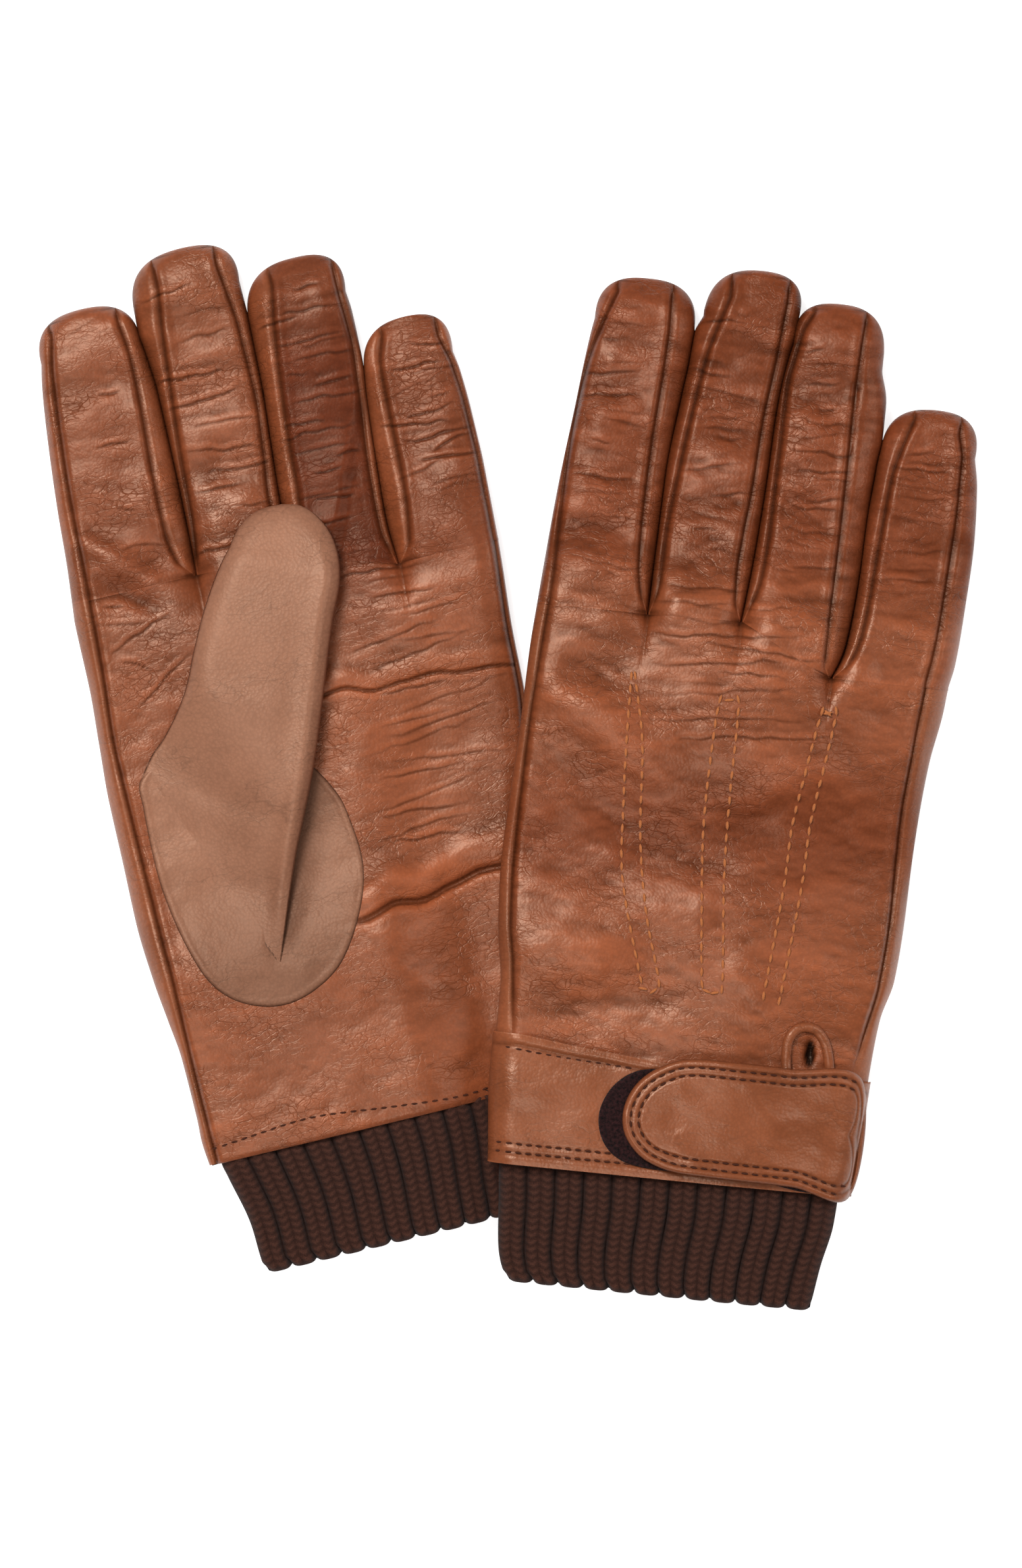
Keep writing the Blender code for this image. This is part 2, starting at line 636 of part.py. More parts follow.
def thumb_sections(hand):
    """Rings of the thumb from its root line to near its tip: two edge points and a thickness."""
    left, right = hand["thumb_l"], hand["thumb_r"]
    count = 10
    keys = np.linspace(0.0, 1.0, len(left))
    sections = []
    for k in range(count):
        t = k / (count - 1)
        a = np.array([np.interp(t, keys, [p[0] for p in left]), np.interp(t, keys, [p[1] for p in left])])
        b = np.array([np.interp(t, keys, [p[0] for p in right]), np.interp(t, keys, [p[1] for p in right])])
        push = np.array(HINGE_OUT) * 4.5 * max(1.0 - t * 6.0, 0.0)
        sections.append((a + push, b + push, t))
    return sections


def thumb(hand):
    """The hollow thumb folded across the palm, thin at its root line and full towards its tip."""
    side = palm_side(hand)
    root = np.array((-29.4, 75.9))
    points, count = [], len(ring_shape())
    sections = thumb_sections(hand)
    for a, b, t in sections:
        middle = 0.5 * (a + b)
        away = float(np.dot(middle - root, np.array(HINGE_OUT)))
        tall = min(THUMB_H, 3.0 + 0.42 * max(away - 4.5, 0.0)) * (1.0 - 0.35 * smooth(t, 0.86, 1.0))
        span = float(np.linalg.norm(b - a))
        way = (b - a) / span
        for x, z in tube_ring(0.0, span, 0.0, tall, 7.0):
            spot = a + way * x
            level = thumb_base(hand, float(spot[0]), float(spot[1]))
            points.append((float(spot[0]), float(spot[1]), level + side * z))
    end = hand["thumb_end"]
    last = (len(sections) - 1) * count
    faces = grid_faces(len(sections), count, 0, side < 0, True)
    points.append((end[0], end[1], thumb_base(hand, *end) + side * 0.3 * THUMB_H))
    tip = len(points) - 1
    for k in range(count):
        cap = (last + k, last + (k + 1) % count, tip)
        faces.append(cap[::-1] if side < 0 else cap)
    made = add_object(hand["prefix"] + "thumb", [place(hand, *p) for p in points], faces, "thumb")
    ends = [Vector(place(hand, *spot, thumb_base(hand, *spot))) for spot in (hand["thumb_r"][0], OVAL[0])]
    set_origin(made, 0.5 * (ends[0] + ends[1]))
    thicken(made, LEATHER, -1.0)
    return made


def thumb_base(hand, u, v):
    """Height of the thumb's resting side, just off the palm."""
    side = palm_side(hand)
    return palm_level(hand, u, v) + side * (CLEAR + 0.3)


def build_glove(hand):
    top = "back_panel" if hand["back_up"] else "palm_panel"
    bottom = "palm_panel" if hand["back_up"] else "back_panel"
    upper = panel(hand, top, 1, "leather")
    lower = panel(hand, bottom, -1, "leather")
    back, palm = (upper, lower) if hand["back_up"] else (lower, upper)
    side_wall(hand, "index_side_strip", True)
    side_wall(hand, "little_side_strip", False)
    for index in range(3):
        fourchette(hand, index)
    for index in range(4):
        fingertip(hand, index)
    knit_cuff(hand)
    closure(hand)
    vent(hand, back)
    gusset = thumb_gusset(hand, palm)
    whole_thumb = thumb(hand)
    thumb_opening(hand, [gusset, whole_thumb])


clear_scene()
build_glove(LEFT)
build_glove(RIGHT)
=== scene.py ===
import math

import bpy
import numpy as np
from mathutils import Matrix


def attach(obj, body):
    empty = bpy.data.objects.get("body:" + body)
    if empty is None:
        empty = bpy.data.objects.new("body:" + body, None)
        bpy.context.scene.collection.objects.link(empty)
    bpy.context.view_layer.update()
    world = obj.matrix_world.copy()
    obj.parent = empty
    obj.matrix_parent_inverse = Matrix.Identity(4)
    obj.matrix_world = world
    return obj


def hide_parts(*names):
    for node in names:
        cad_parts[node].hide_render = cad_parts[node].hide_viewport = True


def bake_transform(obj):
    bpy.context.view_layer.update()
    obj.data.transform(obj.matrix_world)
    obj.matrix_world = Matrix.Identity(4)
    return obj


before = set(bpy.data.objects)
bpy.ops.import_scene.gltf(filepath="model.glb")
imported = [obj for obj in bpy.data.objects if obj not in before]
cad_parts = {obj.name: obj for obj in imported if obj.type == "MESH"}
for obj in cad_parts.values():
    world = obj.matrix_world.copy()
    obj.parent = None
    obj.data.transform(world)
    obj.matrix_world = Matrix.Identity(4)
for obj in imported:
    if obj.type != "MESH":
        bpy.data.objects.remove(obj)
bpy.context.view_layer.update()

# All shapes below are in each glove's own plan: u towards the little finger, v towards the
# fingertips, in millimetres. The left glove lies palm up, the right glove lies back up.
SIDE_R = 8.0  # radius of the rounded sides
WRIST, PALM, FINGER = 5.6, 7.0, 5.5  # half thickness along the hand
STACK, DROP = 5.85, 1.9  # height of the closure under the left palm, and its fall towards the outer side
TIP = 12.0  # length of a fingertip's rounding
NEIGHBOUR_GAP = 3.4  # fingers nearer than this are drawn together
HAND_ROWS, UNDER_ROWS, EDGE_ROWS, FINGER_ROWS, THUMB_ROWS = 380, 70, 200, 250, 170

RIGHT = {
    "key": "right_", "turn": -5.76, "at": (42.35, -104.5), "back_up": True,
    "l": [(-47.9, 0), (-49.8, 24.4), (-49.9, 45.5), (-52.1, 62.8), (-53, 80.3), (-52.4, 98), (-51.6, 115.6),
          (-51.1, 136.8), (-50.4, 148.0)],
    "r": [(48, 0), (49.6, 20.4), (50.4, 34.4), (51.6, 46.9), (54.4, 57.8), (55.5, 73.7), (55.9, 89.5),
          (56.4, 100), (57.8, 116), (60.2, 130), (60.9, 137)],
    "sl": [(-44.6, 0), (-45.4, 30.0), (-47.2, 52), (-49.0, 64), (-49.7, 80), (-49.3, 115.9), (-48.1, 137.1),
           (-47.3, 148.0)],
    "sr": [(41.8, 0), (43.5, 20.0), (48.0, 44.0), (50.3, 56), (51.6, 76.8), (51.7, 99.7), (53.0, 118),
           (54.6, 137)],
    "forks": [(-20.9, 148.1), (4.0, 148.6), (29.3, 136.1)],
    "fingers": [
        {"name": "index", "crease": 186.0, "tip": 237.5,
         "l": [(-50.4, 148), (-49.7, 158), (-48, 179.3), (-45.7, 200.6), (-43.3, 222), (-42.0, 229)],
         "r": [(-20.9, 148), (-20.6, 164.5), (-20.3, 185.6), (-17.9, 207), (-16.8, 217.7), (-17.0, 226)],
         "sl": [(-47.3, 148), (-46.8, 160.1), (-46.4, 183), (-44.7, 204.3), (-43.1, 215), (-39.9, 226),
                (-37.4, 233)],
         "sr": [(-21.0, 148.1), (-23.2, 153.7), (-24.3, 160.6), (-24.6, 171.1), (-24.1, 192.3),
                (-22.8, 213.5), (-22.4, 224.1), (-22.6, 232.9)]},
        {"name": "middle", "crease": 190.0, "tip": 242.5,
         "l": [(-20.8, 148), (-19.9, 168.1), (-18.9, 189.3), (-17, 208.8), (-15.6, 219.5), (-13.8, 229)],
         "r": [(3.8, 148.5), (5, 165.3), (6.5, 184.8), (7.9, 206.1), (10.4, 223.9), (11.2, 229)],
         "sl": [(-20.7, 148), (-18.7, 155.9), (-18.0, 171.7), (-16.3, 187.8), (-14.0, 205.5), (-11.6, 219.9),
                (-9.6, 227.1), (-7.3, 234.4)],
         "sr": [(3.7, 148.5), (2, 154.5), (1.8, 161.5), (2.5, 172.1), (3.6, 182.8), (4.8, 202.2),
                (6.7, 218.2), (7.5, 227.1), (8.2, 234.3)]},
        {"name": "ring", "crease": 187.0, "tip": 235.8,
         "l": [(4.2, 148.6), (6.7, 165.5), (7.9, 185), (8.6, 209.6), (9.8, 219.1), (11.6, 226)],
         "r": [(29.2, 136.1), (31.1, 141.6), (33.7, 162.9), (34.5, 180.6), (35.6, 193), (35.8, 208.9),
               (34.9, 219)],
         "sl": [(4.4, 148.6), (8.1, 160.3), (9.1, 171), (9.7, 192.2), (10.3, 213.3), (11.5, 220.4),
                (13.0, 227.6), (15.5, 232.8)],
         "sr": [(28.9, 135.8), (27.2, 139.4), (27.3, 148.2), (27.9, 167.6), (28.3, 187), (28.4, 208.1),
                (28.9, 224), (29.4, 231.1)]},
        {"name": "little", "crease": 172.0, "tip": 210.2,
         "l": [(29.4, 136.1), (33.2, 145.3), (34.9, 164.8), (35.4, 180.7), (36.3, 193.1), (38.1, 200)],
         "r": [(60.9, 137), (62.1, 142.9), (63.3, 158.9), (64, 174.8), (63.3, 190.5), (61.9, 198.6)],
         "sl": [(29.6, 136.2), (33.8, 141), (36.0, 147.3), (37.2, 156.2), (38.7, 174), (40.3, 191.7),
                (41.6, 197.1), (44.7, 207)],
         "sr": [(54.6, 137), (56.0, 145.8), (57.7, 165.4), (58.6, 186.5), (58.6, 197.1), (57.3, 204)]},
    ],
}
LEFT = {
    "key": "left_", "turn": 13.5, "at": (-33.1, -90.1), "back_up": False,
    "l": [(-48.1, -1), (-48.8, 7.2), (-48.6, 12.5), (-48.8, 28.8), (-50, 39.9), (-51.3, 51), (-52.4, 67.5),
          (-52.1, 83.6), (-51.9, 99.8), (-50.9, 115.7), (-49.9, 131.6), (-49.7, 147.8), (-49.2, 153.4)],
    "r": [(48, 0), (50, 34), (54.5, 58), (59.5, 84), (62.8, 104), (63.5, 120.7), (64.8, 136.5), (65.4, 145)],
    "sl": [(-46.1, -1), (-46.4, 28), (-46.2, 50), (-46.6, 62), (-46.9, 84), (-47.0, 111), (-45.4, 134),
           (-44.3, 153.4)],
    "sr": [(46.8, 0), (48.8, 34), (53.3, 58), (58.3, 84), (61.6, 104), (62.3, 120.7), (63.6, 136.5),
           (64.2, 145)],
    "forks": [(-15.2, 153.4), (10.8, 152.5), (38.1, 143.9)],
    "fingers": [
        {"name": "index", "crease": 186.0, "tip": 229.6,
         "l": [(-49.2, 153.4), (-48.2, 163.6), (-47.1, 179.6), (-45.6, 195.4), (-43.6, 211.1), (-42.0, 219)],
         "r": [(-15.2, 153.4), (-14.6, 162.8), (-14.2, 184.3), (-13.9, 203.8), (-14.4, 213.1), (-15.6, 219)],
         "sl": [(-44.3, 153.4), (-43.2, 180.5), (-41.6, 199.9), (-39.8, 215.4), (-37.9, 224)],
         "sr": [(-15.4, 153.5), (-19.3, 158.6), (-20.4, 166), (-20, 182.1), (-18.8, 201.6), (-18.5, 213.9),
                (-19.5, 224)]},
        {"name": "middle", "crease": 190.0, "tip": 239.2,
         "l": [(-15.0, 153.4), (-14.2, 169.9), (-13.7, 186), (-13.6, 203.8), (-14.4, 213.5), (-14.6, 220.6),
               (-13.9, 228)],
         "r": [(10.5, 152.5), (10.9, 167.6), (12.1, 185.2), (13.4, 201), (13.7, 215.4), (13.4, 226.4)],
         "sl": [(-14.8, 153.6), (-12.9, 167.8), (-11.8, 185.5), (-10.3, 203.1), (-8.6, 220.7), (-7.3, 229.6)],
         "sr": [(10.3, 152.6), (8.6, 167.1), (10.0, 180.2), (11.5, 197.8), (11.4, 214.1), (10.5, 224.5),
                (9.6, 232)]},
        {"name": "ring", "crease": 188.0, "tip": 229.8,
         "l": [(11.1, 152.5), (11.6, 166.5), (12.6, 179.8), (13.9, 195.6), (14.5, 209.9), (15.1, 218.9)],
         "r": [(37.9, 143.9), (36.9, 154), (37.4, 168.3), (40.0, 192.8), (41.1, 201.5), (41.5, 212.2),
               (40.4, 219)],
         "sl": [(11.3, 152.6), (16.0, 165.3), (17, 180.4), (18.6, 198), (20.7, 214.4), (22.4, 223.4)],
         "sr": [(37.6, 144.0), (35.6, 154.2), (36.2, 168.3), (38.8, 192.8), (39.8, 205.5), (39.4, 217)]},
        {"name": "little", "crease": 172.0, "tip": 207.6,
         "l": [(38.3, 143.9), (38.2, 153.8), (39.5, 171.5), (40.6, 189.2), (41.7, 196.3)],
         "r": [(65.4, 145), (66, 157.8), (66.4, 168.5), (66.4, 179.4), (66, 190.2), (65.2, 196)],
         "sl": [(38.6, 144.0), (42.1, 149.1), (44.4, 168.3), (44.9, 184.5), (45.6, 196.6), (47.8, 204)],
         "sr": [(64.2, 145), (64.8, 158), (65.2, 170), (65.1, 182), (64.4, 192), (62.6, 200)]},
    ],
}


# ---------- small numeric tools ----------
def smooth(value, low, high):
    """0 below low, 1 above high, an S curve between."""
    t = np.clip((np.asarray(value, float) - low) / (high - low), 0.0, 1.0)
    return t * t * (3.0 - 2.0 * t)


def gauss(value, width):
    """A bell, 1 at zero."""
    return np.exp(-np.square(value / width))


def along(points, v):
    """u at v on a smooth monotone curve through (u, v) points, held beyond its ends."""
    ys = np.array([p[0] for p in points], float)
    xs = np.array([p[1] for p in points], float)
    h = np.diff(xs)
    d = np.diff(ys) / h
    m = np.zeros_like(xs)
    a, b = d[:-1], d[1:]
    same = a * b > 0
    w1, w2 = 2 * h[1:] + h[:-1], h[1:] + 2 * h[:-1]
    safe_a, safe_b = np.where(same, a, 1.0), np.where(same, b, 1.0)
    m[1:-1] = np.where(same, (w1 + w2) / (w1 / safe_a + w2 / safe_b), 0.0)
    m[0], m[-1] = d[0], d[-1]
    v = np.asarray(v, float)
    k = np.clip(np.searchsorted(xs, v) - 1, 0, len(h) - 1)
    t = np.clip((v - xs[k]) / h[k], 0.0, 1.0)
    t2, t3 = t * t, t * t * t
    return ((2 * t3 - 3 * t2 + 1) * ys[k] + (t3 - 2 * t2 + t) * h[k] * m[k]
            + (3 * t2 - 2 * t3) * ys[k + 1] + (t3 - t2) * h[k] * m[k + 1])


def lattice(ix, iy, seed):
    """One fixed pseudo-random value from -1 to 1 for each whole place."""
    n = (ix * 374761393 + iy * 668265263 + seed * 974634777) & 0xFFFFFFFF
    n = ((n ^ (n >> 13)) * 1274126177) & 0xFFFFFFFF
    return ((n ^ (n >> 16)) & 0xFFFF) / 32767.5 - 1.0


def noise(x, y, seed=0):
    """Smooth value noise from -1 to 1 with a period of about one unit."""
    x, y = np.broadcast_arrays(np.asarray(x, float), np.asarray(y, float))
    fx, fy = np.floor(x), np.floor(y)
    ix, iy = fx.astype(np.int64), fy.astype(np.int64)
    tx, ty = x - fx, y - fy
    tx, ty = tx * tx * (3 - 2 * tx), ty * ty * (3 - 2 * ty)
    a, b = lattice(ix, iy, seed), lattice(ix + 1, iy, seed)
    c, d = lattice(ix, iy + 1, seed), lattice(ix + 1, iy + 1, seed)
    return (a + (b - a) * tx) * (1 - ty) + (c + (d - c) * tx) * ty


def fractal(x, y, seed=0, octaves=3):
    """Noise over a few octaves, each finer and half as strong."""
    total, gain = 0.0, 1.0
    for k in range(octaves):
        total = total + gain * noise(x * 2.03**k, y * 2.03**k, seed + 17 * k)
        gain *= 0.5
    return total / 1.75


def ridge(u, v, a, b, width, height, soft=6.0):
    """A raised (or, below zero, sunken) line from a to b that fades at its ends."""
    ax, ay, bx, by = a[0], a[1], b[0], b[1]
    length = math.hypot(bx - ax, by - ay)
    dx, dy = (bx - ax) / length, (by - ay) / length
    s = (u - ax) * dx + (v - ay) * dy
    d = (u - ax) * dy - (v - ay) * dx
    ends = smooth(s, -soft, soft) * (1.0 - smooth(s, length - soft, length + soft))
    return height * gauss(d, width) * ends


# ---------- how each glove lies ----------
def half_thickness(v):
    """Half the thickness of the lying glove at v."""
    wrist = WRIST + (PALM - WRIST) * smooth(v, 25.0, 75.0)
    return wrist + (FINGER - PALM) * smooth(v, 125.0, 185.0)


def under(hand, u, v):
    """Height of the lower side of the glove: the right one rests on the left one's edge."""
    if hand["back_up"]:
        lean = 0.06 + 0.94 * (1.0 - smooth(u, 8.0, 66.0))
        return 0.6 + 10.3 * lean * (1.0 - smooth(v, 128.0, 226.0))
    stack = STACK - DROP * smooth(u, 22.0, 42.0)
    return stack * (1.0 - smooth(v, 45.0, 72.0)) + 0.35 * smooth(v, 145.0, 170.0)


def over(hand, u, v):
    """Height of the upper side; the left glove is pressed flat where the right one lies on it."""
    top = under(hand, u, v) + 2.0 * half_thickness(v)
    if hand["back_up"]:
        return top
    press = smooth(u, 10.0, 36.0) * (1.0 - smooth(v, 92.0, 140.0))
    return top + (np.minimum(top, 10.2) - top) * press


def crown(near, radius):
    """Share of the full height so near a rounded side."""
    inset = np.clip((radius - near) / radius, 0.0, 1.0)
    return np.sqrt(np.clip(1.0 - inset * inset, 0.0, 1.0))


def place(hand, u, v, z):
    """Local millimetres to metres in the shared frame; arrays in, one (..., 3) array out."""
    c, s = math.cos(math.radians(hand["turn"])), math.sin(math.radians(hand["turn"]))
    u, v, z = np.broadcast_arrays(np.asarray(u, float), np.asarray(v, float), np.asarray(z, float))
    x = hand["at"][0] + u * c - v * s
    y = hand["at"][1] + u * s + v * c
    return np.stack([x, y, z], axis=-1) * 0.001


def point(hand, u, v, z):
    return tuple(float(t) for t in place(hand, u, v, z))


# ---------- relief of the leather ----------
THUMB_DIP = 1.8  # how far the palm sinks beside the thumb


def creases(u, v, seed, low, high, count, middle, reach, depth, width=0.42, tilt=0.10):
    """Short sharp folds across a finger or a palm, each a thin wavering groove with a lip above it."""
    total = 0.0 * u
    for k in range(count):
        pick = [float(lattice(np.int64(k), np.int64(n), seed)) for n in range(6)]
        at = low + (high - low) * (k + 0.5 + 0.42 * pick[0]) / count
        centre = middle + reach * 0.45 * pick[1]
        span = reach * (0.62 + 0.38 * pick[2])
        waver = 0.55 * noise(u / 3.6 + 9 * k, 0.0 * u, seed + 3)
        line = at + tilt * (1.6 * pick[3] + 0.2) * (u - centre) + waver
        window = np.clip(1.0 - np.square((u - centre) / span), 0.0, 1.0)
        strong = depth * (0.42 + 0.40 * pick[4]) * window
        lip = 0.45 * strong * gauss(v - line - 2.4 * width, 2.2 * width)
        total = total - strong * gauss(v - line, width) + lip
    return total


def ridges(u, v, table):
    """The sum of several ridges."""
    return sum(ridge(u, v, *row) for row in table)


# each row: start, end, width, height, length of the fade at its ends
RIGHT_RIDGES = (
    ((-48, 132), (-6, 100), 6.0, 1.3, 16), ((-46, 112), (-14, 86), 6.0, -1.2, 14),
    ((12, 104), (54, 122), 7.0, 1.0, 14), ((6, 74), (50, 82), 5.0, 1.1, 14),
    ((-40, 40), (0, 50), 5.0, -0.8, 12),
)
LEFT_FOLDS = (
    ((6, 114.3), (70, 111.0), 0.5, -0.75, 9), ((8, 117), (70, 114.6), 2.8, 0.7, 8),
    ((8, 54.0), (52, 60.0), 1.1, -1.7, 10), ((4, 60), (52, 66), 4.2, 1.5, 8),
)
LEFT_PLEATS = (((-44, 171), (-24, 152), 3.0, 1.1, 6), ((-42, 160), (-26, 145), 2.4, -0.9, 6))
RIGHT_FINGERS = ((-35.0, 226), (-7.0, 230), (19.0, 224), (48.0, 200))  # middle u, last crease
# middle u, last crease, count, depth, tilt
LEFT_FINGERS = ((-31.0, 228, 5, 0.30, -0.35), (-1.0, 232, 15, 0.60, 0.10), (27.0, 222, 17, 0.62, 0.05),
                (54.0, 200, 13, 0.60, 0.12))


def relief_right(u, v):
    """Folds and creases on the back of the right glove."""
    hollow_line = v - 88 - 0.10 * u + 3.0 * noise(u / 26, 0 * u, 8)
    r = 1.5 * gauss(v - 150 + 0.12 * u, 12) - 2.4 * gauss(hollow_line, 15)
    r = r + 1.1 * gauss(v - 117 + 0.15 * (u + 20), 9) * smooth(u, -60, -30) * (1 - smooth(u, 20, 44))
    r = r + 1.3 * gauss(np.hypot((u + 34) / 1.5, v - 58), 11)
    r = r + 0.9 * gauss(np.hypot((u - 22) / 2.2, v - 54), 9)
    r = r * (1.0 - smooth(v, 158, 172)) * smooth(v, 22, 44)
    r = r * 1.7 + 1.7 * fractal(u / 26, v / 19, 3) + ridges(u, v, RIGHT_RIDGES)
    r = r + 0.42 * fractal(u / 11, v / 7, 9) + 0.20 * fractal(u / 7, v / 5, 5)
    r = r + creases(u, v, 301, 118, 158, 13, 5.0, 26.0, 0.32)
    for k, (middle, top) in enumerate(RIGHT_FINGERS):
        made = creases(u, v, 311 + k, 160, top, 15, middle, 11.0, 0.26)
        r = r + made * smooth(11.5 - np.abs(u - middle), 0, 3)
    return r


def relief_left(u, v):
    """Folds and creases on the palm side of the left glove."""
    r = 1.25 * fractal(u / 26, v / 20, 33)
    r = r + 0.25 * fractal(u / 12, v / 8, 39) + 0.18 * fractal(u / 6, v / 5, 35)
    r = r + ridges(u, v + 1.2 * noise(u / 8, 0 * u, 50), LEFT_FOLDS)
    r = r - 0.9 * gauss(v - 38, 14) * smooth(u, -30, 10)
    r = r + creases(u, v, 401, 68, 150, 22, 36.0, 20.0, 0.34) * smooth(u, 6, 22)
    r = r + creases(u, v, 402, 118, 152, 9, -34.0, 13.0, 0.40, tilt=-0.5) * (1 - smooth(u, -26, -14))
    for k, (middle, top, count, depth, tilt) in enumerate(LEFT_FINGERS):
        made = creases(u, v, 411 + k, 158, top, count, middle, 12.5, depth, tilt=tilt)
        r = r + made * smooth(13.0 - np.abs(u - middle), 0, 2) * smooth(v, 150, 160)
    return r + ridges(u, v, LEFT_PLEATS)


def relief(hand, u, v, side):
    """Height of the folds over the plain shape on the upper (+1) or lower (-1) side."""
    if side < 0:
        rough = 0.5 * fractal(u / 19, v / 15, 71) - 0.3
    else:
        rough = relief_right(u, v) if hand["back_up"] else relief_left(u, v)
    return rough - (THUMB_DIP * beside_thumb(u, v) if (side > 0) != hand["back_up"] else 0.0)


def seam_dip(distance, depth=0.95):
    """A sewn seam seen across: a narrow groove between two soft shoulders."""
    return -depth * gauss(distance, 0.55) + 0.34 * gauss(np.abs(distance) - 1.7, 1.0)


# ---------- making meshes ----------
def make_grid(hand, name, u, v, z, shade, material, closed=False, flip=False):
    """A quad grid over local millimetres; u and v stay with the mesh for its textures."""
    rows, columns = u.shape
    index = np.arange(rows * columns).reshape(rows, columns)
    right = np.roll(index, -1, axis=1) if closed else index[:, 1:]
    left = index if closed else index[:, :-1]
    quads = np.stack([left[:-1], right[:-1], right[1:], left[1:]], axis=-1).reshape(-1, 4)
    if flip:
        quads = quads[:, ::-1]
    rest = np.stack([u, v], axis=-1)
    return make_object(hand["key"] + name, place(hand, u, v, z), quads, rest, shade, material)


def make_object(name, points, quads, rest, shade, material):
    mesh = bpy.data.meshes.new(name)
    mesh.from_pydata(points.reshape(-1, 3).tolist(), [], quads.tolist())
    mesh.shade_smooth()
    paint(mesh, rest.reshape(-1, 2), shade.reshape(-1, 3))
    made = bpy.data.objects.new(name, mesh)
    bpy.context.scene.collection.objects.link(made)
    mesh.materials.append(MATERIALS[material])
    return made


def paint(mesh, rest, shade):
    """Store texture coordinates that stay with the material, and a colour multiplier."""
    where = mesh.attributes.new("rest", "FLOAT_VECTOR", "POINT")
    full = np.zeros((len(mesh.vertices), 3), np.float32)
    full[:, :2] = rest
    where.data.foreach_set("vector", full.ravel())
    tint = mesh.attributes.new("shade", "FLOAT_COLOR", "POINT")
    full = np.ones((len(mesh.vertices), 4), np.float32)
    full[:, :3] = shade
    tint.data.foreach_set("color", full.ravel())


def hollow(z):
    """How far each grid point lies below the rows beside it: positive in creases."""
    total = np.zeros_like(z)
    for k in (1, 2, 4):
        pad = np.pad(z, ((k, k), (0, 0)), mode="edge")
        total += (pad[2 * k:] + pad[:-2 * k]) / 2 - z
    return total


def grey(value):
    """One value as a colour."""
    return np.repeat(np.asarray(value, float)[..., None], 3, axis=-1)


# ---------- the skin of hand and fingers ----------
def cluster(count):
    """Shares across a panel, closer together beside its two seams."""
    ends = np.array([0.0, 0.012, 0.026, 0.044, 0.066, 0.095])
    middle = np.linspace(0.13, 0.87, count)
    return np.concatenate([ends, middle, 1.0 - ends[::-1]])


PANEL = cluster(24)
TURNS = np.linspace(0.0, 1.0, 17)[None, :]
for glove in (RIGHT, LEFT):
    for first, second in zip(glove["fingers"], glove["fingers"][1:], strict=False):
        first["after"], second["before"] = second["l"], first["r"]


def finger_frame(finger, v):
    """Outline and seams of a finger at v, rounded off over its tip, and how open it still is."""
    start = finger["tip"] - TIP
    at = np.minimum(v, start)
    left, right = along(finger["l"], at), along(finger["r"], at)
    before, after = left - left_of(finger, at), right_of(finger, at) - right
    left = left - (0.5 * before + 0.05) * smooth(NEIGHBOUR_GAP - before, 0.0, 1.2)
    right = right + (0.5 * after + 0.05) * smooth(NEIGHBOUR_GAP - after, 0.0, 1.2)
    t = np.clip((v - start) / TIP, 0.0, 1.0)
    ends = (along(finger["sl"], start + 8) + along(finger["sr"], start + 8)) / 2.0
    foot = (along(finger["l"], start) + along(finger["r"], start)) / 2.0
    centre = (left + right) / 2.0 + np.clip(ends - foot, -2.0, 2.0) * t
    close = np.power(np.clip(1.0 - t**2.6, 0.0, 1.0), 1.0 / 2.6)
    half = (right - left) / 2.0 * close
    limit = half * (0.97 + 0.03 * t)
    sl = np.clip(along(finger["sl"], v), centre - limit, centre - half * 0.3)
    sr = np.clip(along(finger["sr"], v), centre + half * 0.3, centre + limit)
    return centre - half, centre + half, sl, sr, close


def feet(hand, index):
    """The v of the finger's foot at its two sides."""
    forks = [f[1] for f in hand["forks"]]
    return forks[max(index - 1, 0)], forks[min(index, 2)]


def side_turns(seam, edge, way, radius):
    """u and share of the half height round a rounded side, from its upper seam to its lower one."""
    inset = np.clip(way * (seam - edge), 0.02, radius * 0.98)
    start = np.arcsin(np.clip((radius - inset) / radius, 0.0, 1.0))
    angle = start + (math.pi - 2.0 * start) * TURNS
    return edge + way * radius * (1.0 - np.sin(angle)), np.cos(angle)


